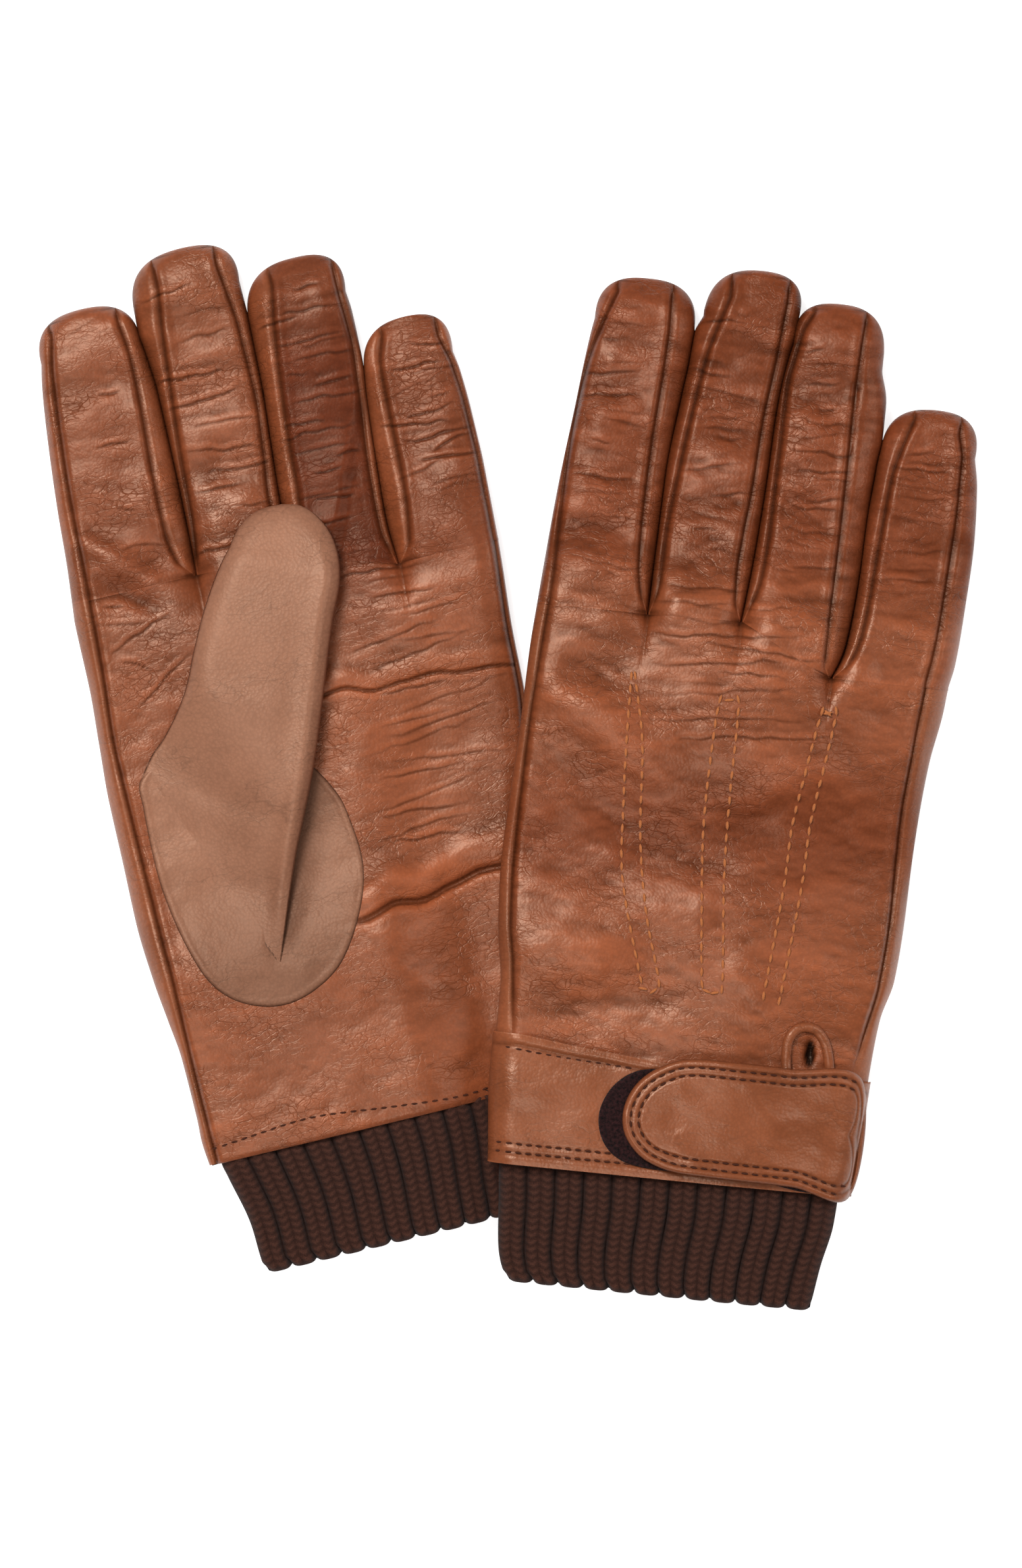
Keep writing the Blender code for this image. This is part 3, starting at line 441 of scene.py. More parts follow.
def finger_rings(hand, index, rows):
    """A finger as rings from foot to tip: u, v, up (-1 to 1), distance from the seam, openness."""
    finger = hand["fingers"][index]
    foot_l, foot_r = feet(hand, index)
    t = np.linspace(0.0, 1.0, rows)[:, None]
    eased = np.where(t < 0.75, t * 1.12, 0.84 + 0.16 * np.sin((t - 0.75) / 0.25 * math.pi / 2))

    def level(share):
        foot = foot_l + (foot_r - foot_l) * share
        return foot + (finger["tip"] - foot) * eased

    parts = []
    shares = {"top": PANEL[None, :], "right": np.ones_like(TURNS), "low": PANEL[None, ::-1],
              "left": np.zeros_like(TURNS)}
    for kind, share in shares.items():
        v = level(share)
        left, right, sl, sr, close = finger_frame(finger, v)
        half = np.maximum((right - left) / 2.0, 0.005)
        radius = np.minimum(SIDE_R, half * 0.96)
        if kind in ("top", "low"):
            u = sl + (sr - sl) * share
            up = crown(np.minimum(u - left, right - u), radius) * (1.0 if kind == "top" else -1.0)
            dist = np.minimum(u - sl, sr - u)
        else:
            seam, edge, way = (sr, right, -1.0) if kind == "right" else (sl, left, 1.0)
            u, up = side_turns(seam, edge, way, radius)
            if kind == "left":
                u, up = u[:, ::-1], up[:, ::-1]
            dist = np.where(up > 0.0, np.abs(u - seam), 9.0)
        # the hand's own side seams run straight on; the seams between fingers begin at the forks
        outer = (index == 0) * (u < (sl + sr) / 2) + (index == 3) * (u > (sl + sr) / 2)
        whole = (outer > 0) | (kind == ("left", "", "", "right")[index])
        born = np.where(whole, 1.0, smooth(v - v[:1], 0.0, 6.0))
        parts.append((u, v, up, dist, born, close))
    return [np.concatenate([part[k] for part in parts], axis=1) for k in range(6)]


def finger_object(hand, index):
    """One finger, closed at its tip, with the seams that run down its front."""
    finger = hand["fingers"][index]
    u, v, up, dist, born, close = finger_rings(hand, index, FINGER_ROWS)
    low, high = under(hand, u, v), over(hand, u, v)
    flat = 1.0 - smooth(v, finger["tip"] - TIP, finger["tip"] + 4.0) * 0.35
    half = (high - low) / 2.0 * np.power(np.clip(close, 0.0, 1.0), 0.8) * flat
    middle = (low + high) / 2.0 - (1.0 - flat) * 1.2
    face = np.clip(up, 0.0, 1.0)
    seam = seam_dip(dist) * born * smooth(finger["tip"] - v, 0.3, 5.0) * np.where(up > 0, 1.0, 0.0)
    z = middle + half * up + seam + relief(hand, u, v, 1) * face * smooth(close, 0.1, 0.8)
    z = z + finger_puff(index, u, v) * face
    # painted shade: darker along the seam grooves
    seen = born * np.where(up > 0, 1.0, 0.5) * smooth(finger["tip"] - v, -1.0, 3.0)
    tone = 1.0 - 0.62 * gauss(dist, 0.7) * seen
    # painted shade: darker on the sides turning under and close beside the neighbouring fingers
    near = np.minimum(np.abs(u - left_of(finger, v)), np.abs(u - right_of(finger, v)))
    neighbour_shade = np.clip(1.0 - near / 2.5, 0.0, 1.0)
    tone = tone * (1.0 - 0.35 * smooth(0.55 - up, 0.0, 1.0)) * (1.0 - 0.55 * neighbour_shade * born)
    # painted shade in the creases, painted highlight on the ridges between them
    crease = hollow(z * np.where(up > 0, 1, 0)) * np.where(up > 0.35, 1, 0)
    tone = tone * np.clip(1.0 - 1.3 * crease, 0.5, 1.25)
    on_top = np.where(np.arange(u.shape[1]) < len(PANEL), 1, -1)
    shade = shade_of(hand, u, v, tone, index, smooth(dist * on_top, -0.3, 1.2))
    return make_grid(hand, finger["name"] + "_finger", u, v, z, shade, "leather", closed=True)


def left_of(finger, v):
    """The facing edge of the finger before this one, or far away."""
    return along(finger["before"], v) if finger.get("before") else np.full_like(v, -999.0)


def right_of(finger, v):
    """The facing edge of the finger after this one, or far away."""
    return along(finger["after"], v) if finger.get("after") else np.full_like(v, 999.0)


def finger_puff(index, u, v):
    """Broad swellings of each finger that its own folds leave."""
    return 0.75 * noise(u / 18 + index * 3.1, v / 9.5, 61) + 0.3 * noise(u / 9 + index * 1.7, v / 5, 63)


def shade_of(hand, u, v, tone, index=None, panel=None):
    """Colour multiplier: the tone times slow random changes over the leather, with painted shade along the
    right back's broad hollow and set darkenings of the fingers.
    """
    value = grey(tone * (1.0 + 0.17 * fractal(u / 24, v / 20, 91)))
    if hand["back_up"]:
        # right glove: fingers darker; the band along the back's broad hollow is painted shade; a little
        # lighter about v 48
        dark = 0.29 * smooth(v, 146, 172) + 0.25 * gauss(v - 92 - 0.10 * u, 17) - 0.08 * gauss(v - 48, 16)
        return value * (1.0 - np.asarray(dark)[..., None] * np.array([0.8, 1.1, 1.3]))
    centre = np.array([-31.0, -1.0, 27.0, 54.0])
    # how much darker each left finger's panel is, the ring finger most, less towards the tip
    finger_darkening = np.array([0.20, 0.14, 0.62, 0.30])
    if index is None:
        near = np.abs(u[..., None] - centre)
        amount = (finger_darkening * np.exp(-np.square(near / 12.0))).sum(-1) * smooth(v, 112, 160)
    else:
        amount = finger_darkening[index] * (panel if panel is not None else 1.0) * (1.0 - 0.45 * smooth(v, 196, 226))
    return value * (1.0 - np.asarray(amount)[..., None] * np.array([0.82, 0.95, 0.90]))


def foot_of(hand, across):
    """u, v and finger of each hand column where the fingers begin."""
    us, vs, ids = [], [], []
    for index in range(4):
        finger = hand["fingers"][index]
        foot_l, foot_r = feet(hand, index)
        v = foot_l + (foot_r - foot_l) * across
        _, _, sl, sr, _ = finger_frame(finger, v)
        us.append(sl + (sr - sl) * across)
        vs.append(v)
        ids.append(np.full(len(across), index))
    return np.concatenate(us), np.concatenate(vs), np.concatenate(ids)


def skin(hand, u, v, side):
    """The height of the hand's leather at any place short of the fingers."""
    low, high = under(hand, u, v), over(hand, u, v)
    up = crown(np.minimum(u - along(hand["l"], v), along(hand["r"], v) - u), SIDE_R)
    rough = relief(hand, u, v, side) * np.clip(up, 0.0, 1.0)
    return (low + high) / 2.0 + side * ((high - low) / 2.0 * up + rough)


def hemmed(v, z, side):
    """Turn the first rows in at the hem so that the leather shows its thickness."""
    v, z = v.copy(), z.copy()
    for row, (dv, dz) in enumerate(((0.9, 1.7), (0.15, 1.4), (-0.15, 0.8), (0.0, 0.25))):
        v[row] = dv
        z[row] = z[4] - side * dz
    return v, z


def hand_sheet(hand, name, side, rows):
    """The hand part of the upper (+1) or under (-1) leather, from the hem to the fingers' feet."""
    us, vs, ids = foot_of(hand, PANEL)
    t = np.linspace(0.0, 1.0, rows)[:, None]
    v = vs[None, :] * t
    sl, sr = along(hand["sl"], v), along(hand["sr"], v)
    share = (us - us[0]) / (us[-1] - us[0])
    home = along(hand["sl"], vs) + (along(hand["sr"], vs) - along(hand["sl"], vs)) * share
    home[0], home[-1] = us[0], us[-1]
    u = sl + (sr - sl) * share[None, :] + (us - home)[None, :] * smooth(v, vs[None, :] - 45, vs[None, :])
    low, high = under(hand, u, v), over(hand, u, v)
    middle, half = (low + high) / 2.0, (high - low) / 2.0
    broad = crown(np.minimum(u - along(hand["l"], v), along(hand["r"], v) - u), SIDE_R)
    own = np.zeros_like(u)
    for index in range(4):
        pick = ids == index
        left, right, _, _, _ = finger_frame(hand["fingers"][index], v[:, pick])
        own[:, pick] = crown(np.minimum(u[:, pick] - left, right - u[:, pick]), SIDE_R)
    blend = np.clip((v - vs[None, :] + 20.0) / 20.0, 0.0, 1.0) ** 3.0
    up = broad + (own - broad) * blend
    edge = np.minimum(u - sl, sr - u)
    dip = seam_dip(edge) * (smooth(v, 30, 46) if hand["back_up"] or side < 0 else 1.0)
    if side < 0:
        dip = dip * 0.4
    puff = sum(finger_puff(k, u, v) * (ids == k)[None, :] for k in range(4))
    puff = puff * blend * np.clip(own, 0.0, 1.0)
    rough = relief(hand, u, v, side) * np.clip(up, 0.0, 1.0)
    z = middle + side * (half * up + dip + rough + (puff if side > 0 else 0.0))
    if side > 0 and hand["back_up"]:
        z = z - vent_dip(u, v)
    # painted shade: darker along the seam grooves
    tone = 1.0 - 0.6 * gauss(edge, 0.7) * (smooth(v, 30, 46) if hand["back_up"] else 1.0)
    # painted shade in the creases, painted highlight on the ridges
    tone = tone * np.clip(1.0 - 1.3 * hollow(side * z), 0.5, 1.25)
    # painted shade down the valleys between the fingers' feet
    tone = tone * (1.0 - 0.85 * blend * smooth(0.62 - own, 0.0, 0.5) * smooth(edge, 6.0, 9.0))
    # painted shade inside the keyhole slit
    if side > 0 and hand["back_up"]:
        tone = tone * (1.0 - 0.95 * smooth(vent_dip(u, v), 0.3, 1.4))
    v, z = hemmed(v, z, side)
    return make_grid(hand, name, u, v, z, shade_of(hand, u, v, tone), "leather", flip=side < 0)


def vent_dip(u, v):
    """The keyhole slit above the band."""
    return 2.6 * gauss(np.hypot((u - 33.6) / 1.3, (v - 36.5) / 3.6), 1.0)


def edge_strip(hand, name, left):
    """The rounded long side of the hand between its upper and lower seams."""
    line, seam_line = (hand["l"], hand["sl"]) if left else (hand["r"], hand["sr"])
    top = hand["forks"][0][1] if left else hand["forks"][2][1]
    v = np.linspace(0.0, top, EDGE_ROWS)[:, None]
    edge, seam = along(line, v), along(seam_line, v)
    u, up = side_turns(seam, edge, 1.0 if left else -1.0, SIDE_R)
    v = np.broadcast_to(v, u.shape)
    low, high = under(hand, u, v), over(hand, u, v)
    dist = np.abs(u - seam)
    shown = smooth(v, 30, 46) if hand["back_up"] else np.ones_like(v)
    groove = seam_dip(dist) * np.where(up > 0, shown, -0.4 * smooth(v, 30, 46))
    z = (low + high) / 2 + (high - low) / 2 * up + groove + relief(hand, u, v, 1) * np.clip(up, 0.0, 1.0)
    # painted shade along the seam groove, and darker on the side turning under
    tone = 1.0 - 0.6 * gauss(dist, 0.7) * np.where(up > 0, shown, 1.0)
    tone = tone * (1.0 - 0.35 * smooth(0.55 - up, 0.0, 1.0))
    return make_grid(hand, name, u, v, z, shade_of(hand, u, v, tone), "edge", flip=left)


# ---------- patches, bands and stitches ----------
def resample(points, pitch, closed=False):
    """A smooth curve through (u, v) points, as evenly spaced points and their directions."""
    p = np.array(points, float)
    if closed:
        p = np.vstack([p, p[:1]])
    before = np.vstack([p[-2:-1] if closed else 2 * p[:1] - p[1:2], p[:-1]])
    after = np.vstack([p[1:], p[1:2] if closed else 2 * p[-1:] - p[-2:-1]])
    m = (after - before) / 2.0
    t = np.linspace(0.0, 1.0, 24, endpoint=False)[:, None, None]
    h = (2 * t**3 - 3 * t**2 + 1) * p[:-1] + (t**3 - 2 * t**2 + t) * m[:-1]
    h = h + (3 * t**2 - 2 * t**3) * p[1:] + (t**3 - t**2) * m[1:]
    curve = np.vstack([h.transpose(1, 0, 2).reshape(-1, 2), p[-1:]])
    far = np.concatenate([[0.0], np.cumsum(np.hypot(*np.diff(curve, axis=0).T))])
    count = max(int(round(far[-1] / pitch)), 2)
    at = np.linspace(0.0, far[-1], count + 1)
    if closed:
        at = at[:-1]
    out = np.stack([np.interp(at, far, curve[:, k]) for k in (0, 1)], axis=-1)
    ahead = np.stack([np.interp(np.clip(at + 0.3, 0, far[-1]), far, curve[:, k]) for k in (0, 1)], axis=-1)
    behind = np.stack([np.interp(np.clip(at - 0.3, 0, far[-1]), far, curve[:, k]) for k in (0, 1)], axis=-1)
    way = ahead - behind
    return out, way / np.linalg.norm(way, axis=1, keepdims=True)


def nearest(edge, spine):
    """The point of the spine that each outline point faces."""
    return np.stack([np.clip(edge[:, 0], *spine[0]), np.clip(edge[:, 1], *spine[1])], -1)


def inset_path(outline, spine, depth):
    """The outline moved inwards by depth, as a list for stitches."""
    edge, _ = resample(outline, 1.0, True)
    centre = nearest(edge, spine)
    reach = np.linalg.norm(edge - centre, axis=1, keepdims=True)
    return edge + (centre - edge) * np.clip(depth / reach, 0, 1)


def patch(hand, name, outline, spine, level, side, thick, roll, material, rows_in=(), shade=1.0, skirt=0.4,
          rim_shade=0.3, lined=False):
    """A flat sewn piece over the outline with rounded edges; rows_in are depths of its stitch grooves, which
    get painted shade, and its rim is darkened by painted shade.
    """
    edge, _ = resample(outline, 0.9, True)
    centre = nearest(edge, spine)
    rim_shares = [0.98, 0.99, 0.996, 1.0, 1.0]
    shares = np.concatenate([np.linspace(0.0, 0.6, 14), np.linspace(0.63, 0.97, 26), rim_shares])
    grid = centre[None] + (edge - centre)[None] * shares[:, None, None]
    depth = np.linalg.norm(edge - centre, axis=1)[None] * (1.0 - shares[:, None])
    u, v = grid[..., 0], grid[..., 1]
    drop = roll * (1.0 - np.sqrt(np.clip(1.0 - np.clip((roll - depth) / roll, 0, 1) ** 2, 0, 1)))
    height = thick - drop + 0.22 * gauss(depth - 1.3, 0.8)
    tone = shade(u, v) if callable(shade) else np.full_like(u, shade)
    for row in rows_in:
        height = height - 0.3 * gauss(depth - row, 0.45)
        # painted shade in the stitch groove
        tone = tone * (1.0 - 0.3 * gauss(depth - row, 0.5))
    height = height + 0.12 * fractal(u / 6, v / 6, 77)
    height[-1] = -skirt
    if lined:
        u, v, tone = (np.concatenate([a, a[::-3]]) for a in (u, v, tone))
        height = np.concatenate([height, np.full_like(height[::-3], -skirt)])
        depth = np.concatenate([depth, depth[::-3]])
    # painted shade along the rim
    tone = tone * (1.0 - rim_shade * gauss(depth, 0.4))
    z = level(u, v) + side * height
    return make_grid(hand, name, u, v, z, grey(tone), material, closed=True, flip=side > 0)


def stitches(hand, name, paths, pitch, length, width, level, side, material):
    """Thread stitches along each path of (u, v), lying in the leather."""
    ring, steps = 6, 5
    angle = np.arange(ring) * 2 * math.pi / ring
    along_it = np.linspace(-1.0, 1.0, steps)
    girth = np.sqrt(np.clip(1.0 - np.abs(along_it) ** 3, 0.02, 1.0))
    verts, faces, rests = [], [], []
    for path in paths:
        spots, ways = resample(path, pitch)
        for number, (spot, way) in enumerate(zip(spots, ways, strict=True)):
            turn = 0.07 * math.sin(number * 2.4)
            c, s = math.cos(turn), math.sin(turn)
            t = np.array([way[0] * c - way[1] * s, way[0] * s + way[1] * c])
            n = np.array([-t[1], t[0]])
            ahead = t[None, None] * (along_it * length / 2)[:, None, None]
            aside = n[None, None] * (girth[:, None] * np.cos(angle)[None] * width / 2)[..., None]
            rows = spot[None, None] + ahead + aside
            base = level(np.array([spot[0]]), np.array([spot[1]]))[0]
            bow = (1.0 - along_it**2) * 0.16
            z = base + side * (0.05 + bow[:, None] + girth[:, None] * np.sin(angle)[None] * width / 2)
            first = len(verts) * ring * steps
            index = np.arange(ring * steps).reshape(steps, ring) + first
            nxt = np.roll(index, -1, axis=1)
            faces.append(np.stack([index[:-1], nxt[:-1], nxt[1:], index[1:]], -1).reshape(-1, 4))
            verts.append(place(hand, rows[..., 0], rows[..., 1], z).reshape(-1, 3))
            rests.append(rows.reshape(-1, 2))
    points, faces, rests = np.vstack(verts), np.vstack(faces), np.vstack(rests)
    made = make_object(hand["key"] + name, points, faces, rests, np.ones_like(points), material)
    return made


STRAP_LINE = [(48.4, 30.7), (28.9, 32.2), (14.0, 32.5), (4.3, 32.4), (-2.0, 31.2), (-8.6, 27.3),
              (-12.6, 22.4), (-14.3, 16.4), (-13.2, 10.6), (-9.0, 5.6), (-3.3, 2.9), (3.0, 1.8), (12, 1.5),
              (32.1, 1.0), (48.4, 0.0)]
LOOP_LINE = [(44, 29.0), (20, 29.6), (4, 29.6), (-5.9, 28.8), (-12.8, 27.0), (-18.0, 22.3), (-20.5, 15.6),
             (-19.2, 9.0), (-15.0, 4.4), (-8.2, 2.4), (4, 2.0), (20, 2.0), (44, 1.8)]
HOOK_LINE = [(15.6, 28.0), (8, 28.3), (0.0, 27.8), (-5.6, 25.0), (-9.0, 20.6), (-9.9, 16.0), (-9.0, 11.4),
             (-5.4, 7.4), (0.0, 5.2), (8, 4.6), (15.6, 4.6)]
VENT_RING = [(27.8, 31.8), (27.3, 36), (27.8, 40.4), (30.4, 43.2), (34.4, 43.0), (37.2, 40.0), (38.6, 36),
             (39.4, 32)]
OVAL = [(-41.5, 104.5), (-43.2, 95.9), (-43.6, 77.9), (-41.7, 63.1), (-37.8, 49.6), (-32.4, 42),
        (-24.4, 37.7), (-15.6, 37), (-5.6, 40.9), (1.3, 47.4), (7.6, 58.5), (10.4, 68.6), (9.9, 79.5),
        (7.7, 89), (0.0, 101.0), (-12.0, 110.0), (-28.0, 111.0)]


STRAP_ROOT = (43.4, 15.0)  # where the strap bends
STRAP_ROWS = (2.2, 4.3)  # depths of its stitch rows


def lifted(hand, side, lift):
    """A level function: so far above the leather."""
    if callable(lift):
        return lambda u, v: skin(hand, u, v, side) + side * lift(u)
    return lambda u, v: skin(hand, u, v, side) + side * lift


def strap_rise(u):
    """How high the strap lies over the leather."""
    return STACK - 1.6 - DROP * smooth(u, 22.0, 42.0)


BAND_R = 7.4  # radius of the band's turned-down ends
BAND_ROWS = (2.9, 5.2)  # heights of its lower stitch rows


def wrist_band(hand, side):
    """The band round the back of the wrist, with a piped upper edge and a bound hem."""
    rows = np.concatenate([[0.0, 0.0], np.linspace(0.0, 1.0, 66), [1.0, 1.0]])
    turn = np.radians(np.linspace(0.0, 104.0 if side > 0 else 72.0, 18))[1:]
    flat = np.linspace(-1.0, 1.0, 150)
    x = np.concatenate([-np.ones(len(turn)), flat, np.ones(len(turn))])
    swing = np.concatenate([-turn[::-1], np.zeros(len(flat)), turn])
    top_v = np.interp(x, [-1.0, -0.65, -0.1, 1.0], [34.2, 32.4, 30.4, 30.4])
    v = top_v[None] * rows[:, None]
    spare = 0.7 if side > 0 else -0.2
    left, right = along(hand["l"], v) - spare, along(hand["r"], v) + spare
    centre, half = (left + right) / 2.0, (right - left) / 2.0
    u = centre + (half - BAND_R) * x[None] + BAND_R * np.sin(swing)[None]
    low, high = under(hand, u, np.maximum(v, 0)), over(hand, u, np.maximum(v, 0))
    up = np.cos(swing)[None]
    lift = 1.5 + 0.55 * gauss(v - (top_v[None] - 1.4), 1.0) + 0.4 * gauss(v - 1.2, 1.0)
    for row in BAND_ROWS:
        lift = lift - 0.28 * gauss(v - row, 0.5)
    lift = lift - 0.32 * gauss(v - (top_v[None] - 3.1), 0.5)
    rough = relief(hand, u, v, side) * 0.6 * np.clip(up, 0, 1)
    lift[0], lift[-1] = 0.0, 0.0
    z = (low + high) / 2 + side * (((high - low) / 2 + lift) * up + rough)
    # painted shade in the groove under the piping and in the stitch-row grooves
    tone = 1.0 - 0.35 * gauss(v - (top_v[None] - 3.1), 0.6)
    tone = tone - 0.25 * gauss(v - BAND_ROWS[0], 0.6) - 0.2 * gauss(v - BAND_ROWS[1], 0.5)
    tone = tone * (1.0 + 0.08 * fractal(u / 20, v / 9, 13))
    v = v - 0.35 * gauss(v, 0.8)
    return make_grid(hand, "band", u, v, z, grey(tone), "strap", flip=side < 0)


def cuff_edges(hand, v):
    """Left and right outline of the cuff."""
    if hand["back_up"]:
        left = [(-39.6, -31.4), (-41.8, -28.6), (-43.6, -22), (-44.6, -10), (-45.4, 0), (-45.4, 8)]
        right = [(40.6, -31.8), (41.2, -28), (42.4, -20), (44.8, -8), (45.2, 0), (45.2, 8)]
    else:
        left = [(-39.2, -31.6), (-40.8, -28.0), (-41.2, -19), (-44.2, -4), (-45.0, 0), (-45, 8)]
        right = [(41.0, -32.4), (42.0, -28), (42.6, -20), (45.0, -6), (45.4, 0), (45.4, 8)]
    return along(left, v), along(right, v)


RIB = 7.55  # width of one rib
CUFF_R = 5.4  # radius of the cuff's sides
CUFF_END = -31.2


def knit_cuff(hand, side):
    """One face of the ribbed cuff: ribs of two knit columns each, with a scalloped end."""
    fine = side > 0
    rows, columns = (118, 300) if fine else (40, 110)
    v = CUFF_END + (7.0 - CUFF_END) * np.linspace(0.0, 1.0, rows)[:, None]
    left, right = cuff_edges(hand, v)
    centre, half = (left + right) / 2.0, (right - left) / 2.0
    across = np.linspace(-1.0, 1.0, columns)[None] * np.ones_like(v)
    over_edge = np.clip((np.abs(across) - 0.9) / 0.1, 0.0, 1.0)
    turned = half - CUFF_R * (1 - np.sin(over_edge * math.pi / 2))
    u = centre + np.sign(across) * np.where(over_edge > 0, turned, np.abs(across) / 0.9 * (half - CUFF_R))
    up = np.cos(over_edge * math.pi / 2)
    rib = (u - centre) / half * 45.0 / RIB + 0.02 * np.sin(v / 7.0)
    cell = rib - np.floor(rib)
    body = np.sqrt(np.clip(1.0 - np.abs(2.0 * cell - 1.0) ** 3.2, 0.0, 1.0))
    wale = 2.0 * ((2.0 * cell) % 1.0) - 1.0
    height = 0.5 + 0.5 * np.cos(2 * math.pi * (v / 1.9 - 0.5 * np.abs(wale)))
    pair = np.sqrt(np.clip(1.0 - wale**2, 0.0, 1.0))
    bump = 1.7 * body + 0.30 * pair * body + 0.34 * height * pair * body
    scallop = 1.6 * (1.0 - body) * (1.0 - smooth(v, CUFF_END, CUFF_END + 3.0))
    v = v + scallop - 0.5 * (1.0 - smooth(v, CUFF_END, CUFF_END + 1.5))
    base_v = np.clip(v, 0.0, 50.0)
    low, high = under(hand, u, base_v), over(hand, u, base_v)
    middle = (low + high) / 2.0
    tall = (high - low) / 2.0 - 3.1 - 0.5 * smooth(-v, 0, 30)
    droop = smooth(-v, -2.0, 26.0) * (middle - 5.4) * (0.35 if hand["back_up"] else 0.55)
    roll = np.clip(1.0 - (v - v[:1]) / 1.5, 0.0, 1.0) ** 2
    z = middle - droop + side * (tall * up + bump * np.sqrt(np.clip(up, 0, 1)) - 1.6 * roll)
    # painted shade in the valleys between the ribs and between the wales
    tone = (0.22 + 0.83 * body) * (0.55 + 0.55 * height * pair) * (0.68 + 0.38 * pair)
    shade = grey(np.clip(tone * 1.25, 0, 1.6))
    return make_grid(hand, "cuff" if fine else "cuff_low", u, v, z, shade, "knit", flip=side < 0)


# ---------- the thumb ----------
RIGHT_THUMB = (
    [(-41.5, 104.5), (-33.3, 111), (-24.1, 118), (-17.3, 127), (-9.4, 136), (-4, 140)],
    [(-17.3, 47.3), (-8.6, 70), (1, 90), (10.5, 115), (14, 126), (9.5, 136)],
)
LEFT_THUMB = (
    [(-41.5, 104.5), (-37.4, 109.6), (-33.3, 113.3), (-28.2, 119.3), (-24.1, 125.5), (-20.3, 133.6),
     (-15.3, 143.2), (-9.4, 152.5), (-4.4, 158.6), (0.5, 163.2)],
    [(-17.3, 47.3), (-13.2, 58.1), (-6.6, 74.5), (-1.2, 85.8), (4.6, 98.8), (10.9, 115.3), (17.1, 131.8),
     (22.0, 143.2), (22.9, 152.6), (19.4, 160.8)],
)


def thumb_edges(hand, t):
    """Left and right edge of the thumb at share t from its root."""
    sides = []
    for line in RIGHT_THUMB if hand["back_up"] else LEFT_THUMB:
        curve, _ = resample(line, 0.5)
        share = np.linspace(0, 1, len(curve))
        sides.append(np.stack([np.interp(t, share, curve[:, k]) for k in (0, 1)], -1))
    return sides


ROOT, OUT = np.array([-29.4, 75.9]), np.array([0.92, 0.39])  # middle of the root line, and the way out


def thumb_object(hand, side):
    """The folded thumb: one tube from the root line across the palm, closed at its round tip."""
    end = np.array([3.5, 140.8]) if hand["back_up"] else np.array([11.4, 166.4])
    t = np.linspace(0.0, 1.0, THUMB_ROWS)
    left, right = thumb_edges(hand, t)
    closing = np.clip((t - 0.90) / 0.10, 0.0, 1.0)
    keep = np.power(np.clip(1.0 - closing**2.3, 0.0, 1.0), 1.0 / 2.3)[:, None]
    middle = (left + right) / 2.0
    middle = middle + (end - middle) * (closing[:, None] ** 1.6)
    reach = (right - left) / 2.0 * keep
    left, right = middle - reach, middle + reach
    span = np.linalg.norm(right - left, axis=1)[:, None]
    radius = np.minimum(6.5, span * 0.48)
    top = cluster(30)[None, :]
    x_top = span * top
    up_top = crown(np.minimum(x_top, span - x_top), radius)
    x_low = x_top[:, ::-1]
    x = np.concatenate([x_top, x_low], axis=1)
    up = np.concatenate([up_top, -up_top[:, ::-1]], axis=1)
    share = x / np.maximum(span, 1e-6)
    spot = left[:, None, :] + (right - left)[:, None, :] * share[..., None]
    u, v = spot[..., 0], spot[..., 1]
    away = (u - ROOT[0]) * OUT[0] + (v - ROOT[1]) * OUT[1]
    tall = 8.8 * smooth(away, 0.0, 32.0) * (1.0 - 0.3 * smooth(t, 0.84, 1.0)[:, None]) * (0.15 + 0.85 * keep)
    face = np.clip(up, 0.0, 1.0)
    from_right = span - x
    begun = smooth(t, 0.0, 0.16)[:, None]
    fold = 1.0 * gauss(from_right - 3.4, 1.9) * begun * smooth(0.95 - t, 0, 0.1)[:, None]
    fold = fold - 0.35 * gauss(from_right - 9.0, 4.0) * begun * smooth(0.85 - t, 0, 0.3)[:, None]
    rough = thumb_relief(u, v) * smooth(keep, 0.2, 0.9) * begun if side > 0 else 0.0
    base = skin(hand, u, v, side) + side * (THUMB_DIP * beside_thumb(u, v) + 0.5)
    if side > 0:
        rooted = smooth(away, 0.0, 22.0)
        base = (base + 0.12 * fractal(u / 6, v / 6, 77)) * (1.0 - rooted)
        base = base + (over(hand, np.clip(u, -44, 60), v) + 0.1) * rooted
    z = base + side * (0.1 + tall * (0.5 + 0.5 * up) + (fold + rough) * face)
    z = z - side * 0.17 * (1.0 - smooth(t, 0.0, 0.05)[:, None])
    # painted shade: darker on the thumb's sides turning under
    tone = (1.0 - 0.5 * smooth(0.3 - up, 0.0, 0.8)) * thumb_tone(u, v)
    return make_grid(hand, "thumb_cover", u, v, z, grey(tone), "thumb", closed=True, flip=side > 0)


def thumb_tone(u, v):
    """The thumb leather's slow random changes, and painted shade darker towards the wrist."""
    return 0.83 * (1.0 + 0.06 * fractal(u / 18, v / 18, 7)) * (1.0 - 0.26 * (1.0 - smooth(v, 44, 84)))


def thumb_relief(u, v):
    """Soft folds on the thumb."""
    table = (((-34, 104), (-8, 84), 3.6, -0.5, 9), ((-24, 122), (2, 112), 5.0, 0.4, 8))
    return 0.35 * fractal(u / 20, v / 16, 101) + ridges(u, v, table)


